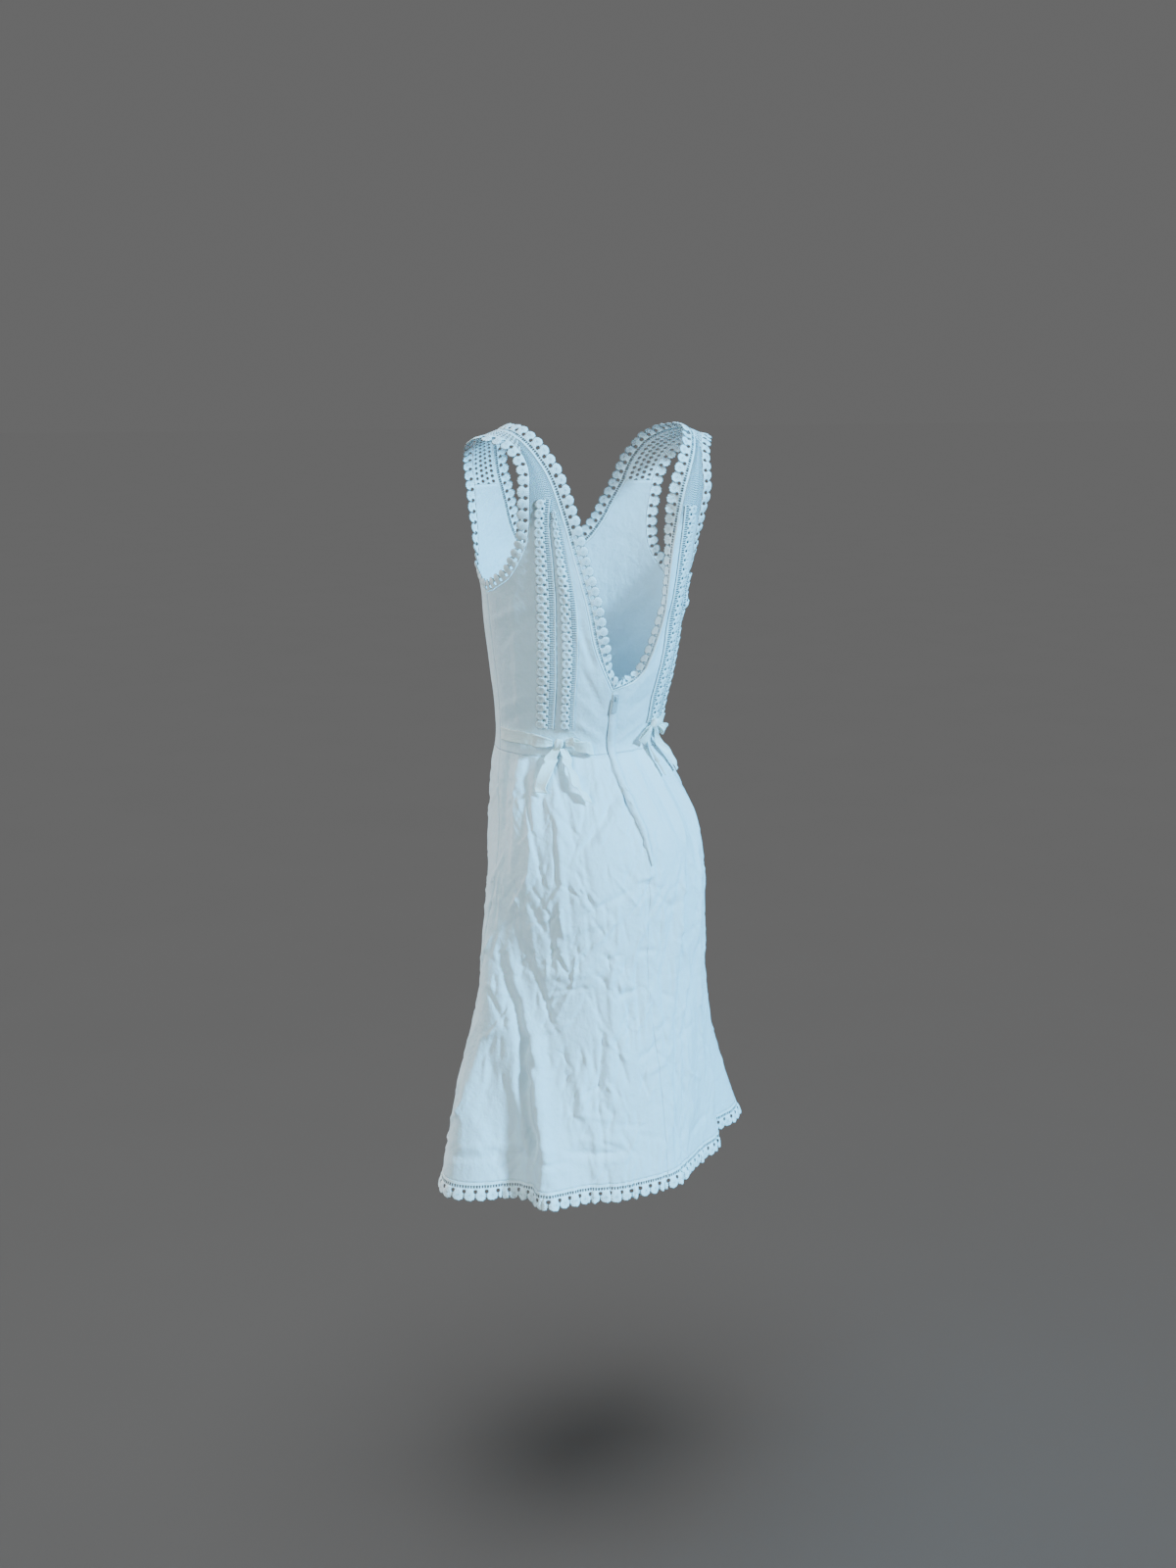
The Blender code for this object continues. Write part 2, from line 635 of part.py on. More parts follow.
def back_sheet(side):
    """The back panel of one side, +1 the left, from the waist to the shoulder seam. Its rows run from
    the centre back line or the V to the side seam or the armhole."""
    columns = PANEL_COLUMNS["bodice_back"]
    v_name = "v_left" if side > 0 else "v_right"
    gap = side * SEAM / 2
    rows = []
    for height in PANEL_ROWS_BELOW_V:
        first = turn_at_x(height, lap_x(height) + gap)
        last = side * (90.0 - side_gap(height))
        rows.append(row_between(height, first, last, columns, beside_last=SEAM_STEP))
    for row in BACK_EDGES:
        height = row[BACK_COLUMNS.index("height")]
        arm = row[BACK_COLUMNS.index("arm")]
        inner = row[BACK_COLUMNS.index(v_name)]
        if row is BACK_EDGES[0]:
            inner += gap
        last = side * (90.0 - side_gap(height)) if arm is None else turn_at_x(height, side * arm)
        step = ARMHOLE_STEPS.get(height, SEAM_STEP if arm is None else None)
        rows.append(row_between(height, turn_at_x(height, inner), last, columns, beside_last=step))
    share = np.linspace(0.0, 1.0, columns + 1)
    for part in SHOULDER_PARTS:
        over = (SHOULDER_SEAM_NECK + (SHOULDER_SEAM_ARM - SHOULDER_SEAM_NECK) * share) * part
        rows.append(strap_points(side, over, across_strap(over, share)))
    return np.array(rows)


def strap_sheet(side):
    """The crochet strap: rows across it with an inner, a middle and an outer point. The first rows
    fill the wedge beside the oblique shoulder seam."""
    seam_turn = SHOULDER_SEAM_NECK - SHOULDER_SEAM_ARM
    rows = []
    for part in STRAP_WEDGE:
        over = SHOULDER_SEAM_ARM + seam_turn * part
        inner = float(across_strap(over, 1 - part)) + SEAM
        outer = float(across_strap(over, 1.0))
        rows.append(strap_points(side, np.full(3, over), np.linspace(inner, outer, 3)))
    first = SHOULDER_SEAM_NECK + math.degrees(-SEAM / CHEST)
    for over in np.linspace(first, 180.0, STRAP_REPEATS + 1):
        rows.append(strap_points(side, np.full(3, over), across_strap(over, np.linspace(0.0, 1.0, 3))))
    return np.array(rows)


def front_sheet():
    """The front panel from side seam to side seam, up to the armholes, strap ends and neckline. Its
    columns are even at the waist and lean towards the top edge only near it."""
    tops = np.array([height for _, height in FRONT_TOP])
    turns = [90.0 + side_gap(height) if x is None else turn_at_x(height, x, front=True) for x, height in FRONT_TOP]
    turns = np.concatenate([turns, 360.0 - np.array(turns[-2::-1])])
    tops = np.concatenate([tops, tops[-2::-1]])
    rows = []
    for part in np.linspace(0.0, 1.0, FRONT_ROWS):
        height = WAIST + (tops - WAIST) * part
        even = np.linspace(90.0, 270.0, len(turns))
        even[0] += side_gap(height[0])
        even[-1] -= side_gap(height[0])
        even[1] = even[0] + FRONT_SEAM_TURN
        even[-2] = even[-1] - FRONT_SEAM_TURN
        along = even + (turns - even) * part**FRONT_BEND
        rows.append(surface(height, along))
    return np.array(rows)


def skirt_sheet(name, first, last):
    """A skirt panel from the waist seam to the hem between two turns, each a side seam given as 90 or
    -90, or None for the centre back line."""
    rows = []
    for height in (WAIST - SEAM,) + SKIRT_ROWS + (SKIRT_BOTTOM,):
        start = turn_at_x(height, lap_x(height) + math.copysign(SEAM / 2, last)) if first is None else first
        gap = side_gap(height)
        end = last - math.copysign(gap, last) if first is None else last - gap
        start = start if first is None else start + gap
        step = None if first is None else SEAM_STEP
        rows.append(row_between(height, start, end, PANEL_COLUMNS[name], step, SEAM_STEP))
    return np.array(rows)


def heading_gap(gap, angle):
    """How far past an edge the outer face of an edging starts, so that its wall, turned inwards by an
    angle, stays the gap clear of the panel's wall."""
    square = gap + LACE * np.sin(angle)
    under = (gap + LACE * (1 - np.cos(angle))) / np.maximum(np.sin(angle), 0.5)
    return np.where(angle > np.pi / 2, under, square)


def edging(name, edge, kind, finish, tilt=None, share=None, mitre=None):
    """A crochet edging sewn to an edge: each repeat is a frame round one square eyelet, with a
    pointed scallop past it. tilt gives the angle it turns inwards and share its part of the full
    width, both by the length along the edge. mitre is where its first end points."""
    width, pitch, scallop, eyelet, centre, gap = EDGINGS[kind]
    total = edge.length[-1]
    repeats = round(total / pitch)
    step = total / repeats

    def place(length, distance):
        """Points at lengths along the edge and distances past it."""
        point, normal, onward = edge.at(length)
        part = np.ones_like(length) if share is None else share(length)
        angle = np.zeros_like(length) if tilt is None else np.radians(tilt(length))
        way = onward * np.cos(angle)[:, None] - normal * np.sin(angle)[:, None]
        reach = way * (distance * part)[:, None]
        if mitre is not None:
            near = ease(1 - length / V_MITRE_LENGTH)[:, None]
            reach = reach * (1 - near) + np.asarray(mitre) * (distance / width)[:, None] * near
        return point + onward * heading_gap(gap, angle)[:, None] + reach

    bounds = np.arange(repeats + 1) * step
    between = [one for one in edge.length if np.min(np.abs(bounds - one)) > HEADING_STEP]
    middles = (np.arange(repeats) + 0.5) * step
    ones = np.ones(repeats)
    half = min(eyelet, EYELET_SHARE * step)
    heading = place(bounds, 0.0 * bounds)
    notch = place(bounds, width - scallop + 0.0 * bounds)
    crest = place(middles, width * ones)
    corners = ((-1, -1), (1, -1), (1, 1), (-1, 1))
    holes = [place(middles + half * a, (centre + eyelet * b) * ones) for a, b in corners]
    points = np.concatenate([heading, notch, crest] + holes + [place(np.array(between), np.zeros(len(between)))])
    faces = []
    for k in range(repeats):
        a0, a1 = k, k + 1
        inside = [at for at, one in enumerate(between) if bounds[k] < one < bounds[k + 1]]
        along = [2 * (repeats + 1) + 5 * repeats + at for at in inside]
        b0, b1 = repeats + 1 + k, repeats + 2 + k
        c = 2 * (repeats + 1) + k
        h = [2 * (repeats + 1) + repeats * (1 + corner) + k for corner in range(4)]
        faces += [
            (a0, *along, a1, h[1], h[0]),
            (a0, h[0], h[3], b0),
            (a1, b1, h[2], h[1]),
            (b0, h[3], c),
            (h[3], h[2], c),
            (h[2], b1, c),
        ]
    return thicken(add_object(name, points, faces, finish), LACE)


def strap_lace(name, sheet, finish):
    """The crochet strap on its rows, with one row of eyelets cut through the middle of it."""
    wedge = len(STRAP_WEDGE)
    rows = len(sheet)
    centres = (sheet[wedge:-1].mean(axis=1) + sheet[wedge + 1 :].mean(axis=1)) / 2
    along = unit(sheet[wedge + 1 :, 1] - sheet[wedge:-1, 1]) * STRAP_EYELET
    across = unit(sheet[wedge:-1, 2] - sheet[wedge:-1, 0]) * STRAP_EYELET
    corners = ((-1, -1), (1, -1), (1, 1), (-1, 1))
    holes = [centres + a * along + b * across for a, b in corners]
    faces = []
    for row in range(rows - 1):
        i0, m0, o0, i1, m1, o1 = (3 * row + k for k in range(6))
        if row < wedge:
            faces += [(i0, i1, m1, m0), (m0, m1, o1, o0)]
            continue
        h = [3 * rows + (rows - 1 - wedge) * corner + row - wedge for corner in range(4)]
        faces += [
            (i0, i1, h[1], h[0]),
            (i1, m1, h[1]),
            (m1, h[2], h[1]),
            (m1, o1, h[2]),
            (o1, o0, h[3], h[2]),
            (o0, m0, h[3]),
            (m0, h[0], h[3]),
            (m0, i0, h[0]),
        ]
    points = np.concatenate([sheet.reshape(-1, 3)] + holes)
    return thicken(add_object(name, points, faces, finish), LACE)


def lace_strip(name, table, side, finish):
    """A crochet strip lying on a back panel: its points are the panel's, moved out. The outer edge
    runs in scallops, three points for each."""
    low, high = table[0][0], table[-1][0]
    repeats = round((high - low) / STRIP_PITCH)
    bounds = np.linspace(low, high, repeats + 1)
    middles = (bounds[1:] + bounds[:-1]) / 2

    def place(height, column, inwards):
        turn = table_value(table, STRIP_COLUMNS, "height", column, height)
        flat = surface(height, side * turn)
        reach = np.linalg.norm(flat[:, :2], axis=1)
        turn = side * (turn - np.degrees(inwards / reach))
        return surface(height, turn) + directions(height, turn)[2] * STRIP_OUT

    inner = place(bounds, "inner", 0.0)
    notch = place(bounds, "outer", STRIP_SCALLOP)
    crest = place(middles, "outer", 0.0)
    faces = []
    for k in range(repeats):
        i0, n0, c = k, repeats + 1 + k, 2 * (repeats + 1) + k
        faces += [(i0, i0 + 1, n0 + 1, n0), (n0, n0 + 1, c)]
    return thicken(add_object(name, np.concatenate([inner, notch, crest]), faces, finish), LACE)


def zip_lap(name, finish):
    """The lap over the zip: a strip of the right panels from the centre back line, moved out, with
    its middle raised over the zip beneath."""
    rows = []
    for height, near, far, raised in ZIP_LAP:
        x = lap_x(height) - np.linspace(near, far, 4)
        turns = np.array([turn_at_x(height, one) for one in x])
        out = 2 * SEAM + CLOTH + raised * np.array(ZIP_LAP_RISE)
        flat = surface(np.full(4, height), turns)
        rows.append(flat + directions(np.full(4, height), turns)[2] * out[:, None])
    return sheet_object(name, np.array(rows), CLOTH, finish)


def solid_object(name, mesh, finish):
    """An object from a closed mesh being edited, with its faces turned outwards."""
    bmesh.ops.recalc_face_normals(mesh, faces=mesh.faces)
    if mesh.calc_volume(signed=True) < 0:
        bmesh.ops.reverse_faces(mesh, faces=mesh.faces)
    data = bpy.data.meshes.new(name)
    mesh.to_mesh(data)
    mesh.free()
    data.materials.append(finish)
    obj = bpy.data.objects.new(name, data)
    collection().objects.link(obj)
    return obj


def slider_frame():
    """The place of the zip slider on the form and the directions round, up and out of it."""
    turn = turn_at_x(SLIDER_HEIGHT, lap_x(SLIDER_HEIGHT) - SLIDER_FROM_LAP)
    around, upward, out = directions(SLIDER_HEIGHT, turn)
    return surface(SLIDER_HEIGHT, turn), around, upward, out


def blocks(name, cuts, empty, finish):
    """One closed body of boxes on the slider's frame. cuts are the places round, up and out where
    boxes meet, and empty tells by its numbers whether a box is left out."""
    origin, *ways = slider_frame()
    counts = [len(places) - 1 for places in cuts]
    filled = {cell for cell in np.ndindex(*counts) if not empty(*cell)}
    mesh = bmesh.new()
    corners = {}

    def corner(cell):
        if cell not in corners:
            point = origin + sum(way * cuts[axis][cell[axis]] for axis, way in enumerate(ways))
            corners[cell] = mesh.verts.new(point)
        return corners[cell]

    for cell in sorted(filled):
        for axis in range(3):
            for side in (0, 1):
                beside = tuple(cell[k] + (2 * side - 1) * (k == axis) for k in range(3))
                if beside in filled:
                    continue
                one, other = [k for k in range(3) if k != axis]
                ring = []
                for step_one, step_other in ((0, 0), (1, 0), (1, 1), (0, 1)):
                    place = list(cell)
                    place[axis] += side
                    place[one] += step_one
                    place[other] += step_other
                    ring.append(corner(tuple(place)))
                mesh.faces.new(ring)
    return solid_object(name, mesh, finish)


def zip_slider(name, finish):
    """The slider's body with the bridge that the pull tab turns in."""
    top = SEAM + SLIDER_BODY
    wide = (-SLIDER_HALF_WIDTH, -BRIDGE_HALF_WIDTH, BRIDGE_HALF_WIDTH, SLIDER_HALF_WIDTH)
    ends = (SLIDER_HALF_LENGTH, BRIDGE_OUTER, BRIDGE_INNER)
    long = tuple(-place for place in ends) + ends[::-1]
    high = (SEAM, top, top + SLIDER_TUNNEL, top + SLIDER_TUNNEL + SLIDER_BAR)

    def empty(across, up, out):
        leg = across == 1 and up in (1, 3)
        bar = across == 1 and up in (1, 2, 3)
        return not (out == 0 or (out == 1 and leg) or (out == 2 and bar))

    return blocks(name, (wide, long, high), empty, finish)


def zip_pull_tab(name, finish):
    """The flat tab, hanging down from the slider's bridge, with the hole that the bridge goes through."""
    pivot = SEAM + SLIDER_BODY + SLIDER_TUNNEL / 2
    wide = (-TAB_HALF_WIDTH, -TAB_HOLE_HALF_WIDTH, TAB_HOLE_HALF_WIDTH, TAB_HALF_WIDTH)
    long = (-TAB_LENGTH, -TAB_HOLE_END, -TAB_BAR, TAB_BAR)
    thick = (pivot - TAB_THICKNESS / 2, pivot + TAB_THICKNESS / 2)
    return blocks(name, (wide, long, thick), lambda across, up, out: across == 1 and up == 1, finish)


def ribbon(name, table, finish):
    """A ribbon through the rows of its table, each a line of its width on the form, moved out."""
    rows = []
    for turn, height, out, width, lean, roll in table:
        around, upward, outward = directions(height, turn)
        lean, roll = math.radians(lean), math.radians(roll)
        flat = around * math.cos(lean) + upward * math.sin(lean)
        across = flat * math.cos(roll) + outward * math.sin(roll)
        middle = surface(height, turn) + outward * out
        rows.append([middle - across * width / 2, middle + across * width / 2])
    obj = add_object(name, np.array(rows).reshape(-1, 3), grid_faces(len(rows), 2), finish)
    solid = obj.modifiers.new("Wall", "SOLIDIFY")
    solid.thickness = RIBBON
    solid.offset = 0.0
    return obj


def knot(name, place, finish):
    """A knot: a flattened ball on the form, moved out."""
    turn, height, out = place
    ways = directions(height, turn)
    middle = surface(height, turn) + ways[2] * out
    mesh = bmesh.new()
    bmesh.ops.create_uvsphere(mesh, u_segments=8, v_segments=6, radius=1.0)
    for vertex in mesh.verts:
        size = np.array(vertex.co) * KNOT_HALF_SIZE
        vertex.co = middle + sum(way * part for way, part in zip(ways, size))
    body = solid_object(name, mesh, finish)
    body.data.shade_smooth()
    return body


def neck_trims(backs, straps, front, finish):
    """The edgings of the V and of the front neckline."""
    below_v = len(PANEL_ROWS_BELOW_V)
    wedge = len(STRAP_WEDGE)
    fronts = {}
    for side in (1, -1):
        half = edge_of(front[:, ::side], "top", STRAP_NECK_COLUMN, len(FRONT_TOP))
        fronts[side] = edge_of(straps[side], "start", first=wedge).joined(half)
    match(fronts[1], -1, fronts[-1], -1)
    for side, word in ((1, "left"), (-1, "right")):
        back = edge_of(backs[side], "start", first=below_v)
        match(back, -1, fronts[side], 0)
        edging(
            f"neck_trim_back_{word}",
            back.trimmed(2 * SEAM, SEAM / 2),
            "neck",
            finish,
            tilt=lambda length, word=word: table_value(V_TRIM, V_TRIM_COLUMNS, "length", word, length),
            share=lambda length: table_value(V_TRIM, V_TRIM_COLUMNS, "length", "share", length),
            mitre=V_MITRE,
        )
        edging(f"neck_trim_front_{word}", fronts[side].trimmed(SEAM / 2, SEAM / 2), "neck", finish)


def armhole_trims(backs, straps, front, finish):
    """The edgings of the armholes, each in a back and a front piece from the side seam up."""
    underarm = len(PANEL_ROWS_BELOW_V) + [row[BACK_COLUMNS.index("arm")] for row in BACK_EDGES].count(None) - 1
    for side, word in ((1, "left"), (-1, "right")):
        back = edge_of(backs[side], "end", first=underarm)
        strap = edge_of(straps[side], "end").reversed()
        whole = edge_of(front[:, ::side], "top", 0, STRAP_ARM_COLUMN + 1).joined(strap)
        match(back, 0, whole, 0)
        match(back, -1, whole, -1)
        edging(f"armhole_trim_back_{word}", back.trimmed(SEAM / 2, SEAM / 2), "arm", finish)
        edging(f"armhole_trim_front_{word}", whole.trimmed(SEAM / 2, SEAM / 2), "arm", finish)


def hem_laces(skirts, finish):
    """The lace of the hem, in a left and a right half from the centre back to the centre front."""
    front = edge_of(skirts["skirt_front"], "top")
    halves = {1: front, -1: front.reversed()}
    whole = {}
    for side, word in ((1, "left"), (-1, "right")):
        back = edge_of(skirts[f"skirt_back_{word}"], "top")
        half = halves[side].trimmed(0.0, halves[side].length[-1] / 2)
        whole[side] = back.joined(half)
    match(whole[1], 0, whole[-1], 0)
    match(whole[1], -1, whole[-1], -1)
    for side, word in ((1, "left"), (-1, "right")):
        edging(f"hem_lace_{word}", whole[side].trimmed(HEM_JOIN, HEM_JOIN), "hem", finish)


def clear_scene():
    for obj in list(bpy.data.objects):
        bpy.data.objects.remove(obj, do_unlink=True)


def main():
    clear_scene()
    cotton = material("cream_cotton", CREAM, 0.85)
    crochet = material("cream_crochet", LACE_CREAM, 0.9)
    zip_finish = material("white_zip", ZIP_WHITE, 0.5)
    backs = {side: back_sheet(side) for side in (1, -1)}
    straps = {side: strap_sheet(side) for side in (1, -1)}
    front = front_sheet()
    skirts = {
        "skirt_back_left": skirt_sheet("skirt_back_left", None, 90.0),
        "skirt_back_right": skirt_sheet("skirt_back_right", None, -90.0),
        "skirt_front": skirt_sheet("skirt_front", 90.0, 270.0),
    }
    sheet_object("bodice_back_left", backs[1], CLOTH, cotton)
    sheet_object("bodice_back_right", backs[-1], CLOTH, cotton)
    sheet_object("bodice_front", front, CLOTH, cotton)
    for name, sheet in skirts.items():
        sheet_object(name, sheet, CLOTH, cotton)
    strap_lace("strap_lace_left", straps[1], crochet)
    strap_lace("strap_lace_right", straps[-1], crochet)
    neck_trims(backs, straps, front, crochet)
    armhole_trims(backs, straps, front, crochet)
    hem_laces(skirts, crochet)
    for place, table in STRIPS.items():
        lace_strip(f"lace_strip_{place}", table, 1 if place.startswith("left") else -1, crochet)
    zip_lap("zip_lap", cotton)
    zip_slider("zip_slider", zip_finish)
    zip_pull_tab("zip_pull_tab", zip_finish)
    for name, place in KNOTS.items():
        knot(name, place, cotton)
    for name, table in RIBBONS.items():
        ribbon(name, table, cotton)


if __name__ == "__main__":
    main()
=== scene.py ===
"""White cotton wedding dress: its cloth, crochet, zip, bows and stitching, and the studio it stands in.

Metres, +Z up. The origin lies midway between the shoulder straps, at the height of their tops. The
front faces -Y and the wearer's left is +X. A turn is an angle about the upright axis of the garment:
0 is the centre back, 90 the left side, 180 the centre front and -90 the right side. Every piece lies
on one shared form, the function surface, so seams and trims meet without fitting.
"""

import math

import bpy
import numpy as np
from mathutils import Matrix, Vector


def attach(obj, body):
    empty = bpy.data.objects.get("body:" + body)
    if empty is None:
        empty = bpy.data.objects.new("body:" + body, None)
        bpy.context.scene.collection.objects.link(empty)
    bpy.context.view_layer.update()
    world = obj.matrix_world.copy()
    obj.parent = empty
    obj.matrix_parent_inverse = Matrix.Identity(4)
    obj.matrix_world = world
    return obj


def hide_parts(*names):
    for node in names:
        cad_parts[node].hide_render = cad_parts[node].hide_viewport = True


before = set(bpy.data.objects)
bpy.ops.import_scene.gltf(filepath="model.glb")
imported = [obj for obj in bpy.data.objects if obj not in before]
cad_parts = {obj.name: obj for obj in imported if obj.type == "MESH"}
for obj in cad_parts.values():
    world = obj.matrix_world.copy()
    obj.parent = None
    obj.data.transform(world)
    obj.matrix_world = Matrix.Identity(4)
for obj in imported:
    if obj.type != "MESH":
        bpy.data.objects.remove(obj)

bl_info = {
    "name": "White Cotton Wedding Dress",
    "version": (1, 0, 0),
    "blender": (4, 5, 0),
    "location": "View3D > Sidebar > Dress",
    "description": "Builds the cloth, crochet, zip, bows and stitching of the dress on its frame",
    "category": "Add Mesh",
}

BODY = "dress"
SIDES = ((1, "left"), (-1, "right"))
WORDS = dict(SIDES)

# The thickness of the cloth and crochet of the solids, half the gap between the outer faces at a seam,
# the whole gap at a side seam, and the heights of the waist seam, the hem and the chest, where the
# straps begin.
CLOTH = 0.0013
LACE = 0.0013
SEAM = 0.00012
SIDE_SEAM = 0.0003
WAIST = -0.408
HEM = -0.957
CHEST = -0.075
# Past this distance from the middle, the ridge of the shoulder falls by this share of the distance.
NECK_AT_RIDGE = 0.11
RIDGE_FALL = 0.35

# The form at each height: half width, the Y of the centre back, of the sides and of the centre
# front, and how square the outline is, where 2 is an ellipse.
FORM_COLUMNS = ("height", "half_width", "back_y", "side_y", "front_y", "square")
FORM = (
    (-0.957, 0.2, 0.16, 0.0, -0.162, 2.0),
    (-0.85, 0.174, 0.146, 0.002, -0.15, 2.0),
    (-0.72, 0.15, 0.133, 0.004, -0.138, 2.0),
    (-0.61, 0.143, 0.126, 0.005, -0.13, 2.1),
    (-0.56, 0.1395, 0.123, 0.002, -0.13, 2.1),
    (-0.5, 0.131, 0.104, -0.012, -0.134, 2.1),
    (-0.44, 0.12, 0.06, -0.038, -0.138, 2.0),
    (-0.408, 0.1115, 0.036, -0.05, -0.139, 2.0),
    (-0.36, 0.112, 0.05, -0.048, -0.142, 2.0),
    (-0.312, 0.1185, 0.065, -0.042, -0.148, 2.0),
    (-0.25, 0.1275, 0.075, -0.038, -0.153, 2.0),
    (-0.19, 0.136, 0.078, -0.033, -0.138, 2.1),
    (-0.15, 0.146, 0.0765, -0.029, -0.128, 2.2),
    (-0.12, 0.158, 0.075, -0.025, -0.117, 2.35),
    (-0.075, 0.172, 0.07, -0.018, -0.098, 3.0),
)
# Folds of the skirt: the turn of each at its start and at the hem, its half width in degrees, how
# far it stands out (or in, below zero) once full, and the heights where it starts, is full and ends,
# which is far below the hem for a fold that runs on. Then how a fold drifts and grows on its way down.
FOLDS = (
    (98.0, 79.0, 14.0, 0.045, -0.5, -0.82, -9.0),
    (100.0, 46.0, 9.0, 0.024, -0.58, -0.93, -9.0),
    (112.0, 60.0, 7.0, -0.012, -0.62, -0.9, -9.0),
    (-58.0, -46.0, 20.0, -0.028, -0.66, -0.95, -9.0),
    (-74.0, -75.0, 9.0, -0.04, -0.7, -0.95, -9.0),
    (-95.0, -95.0, 14.0, 0.036, -0.66, -0.95, -9.0),
    (20.0, 15.0, 8.0, 0.005, -0.7, -0.95, -9.0),
    (-12.0, -26.0, 9.0, -0.005, -0.64, -0.9, -9.0),
    (122.0, 126.0, 12.0, 0.016, -0.58, -0.95, -9.0),
    (146.0, 150.0, 12.0, -0.012, -0.6, -0.95, -9.0),
    (178.0, 176.0, 14.0, 0.018, -0.56, -0.95, -9.0),
    (-152.0, -150.0, 11.0, -0.01, -0.62, -0.95, -9.0),
    (-126.0, -128.0, 12.0, 0.014, -0.6, -0.95, -9.0),
    (62.0, 70.0, 7.0, 0.006, -0.4, -0.47, -0.66),
    (46.0, 48.0, 6.0, 0.004, -0.41, -0.46, -0.62),
    (-62.0, -66.0, 7.0, 0.005, -0.4, -0.47, -0.64),
)
FOLD_DRIFT = 1.6
FOLD_GROWTH = 1.3
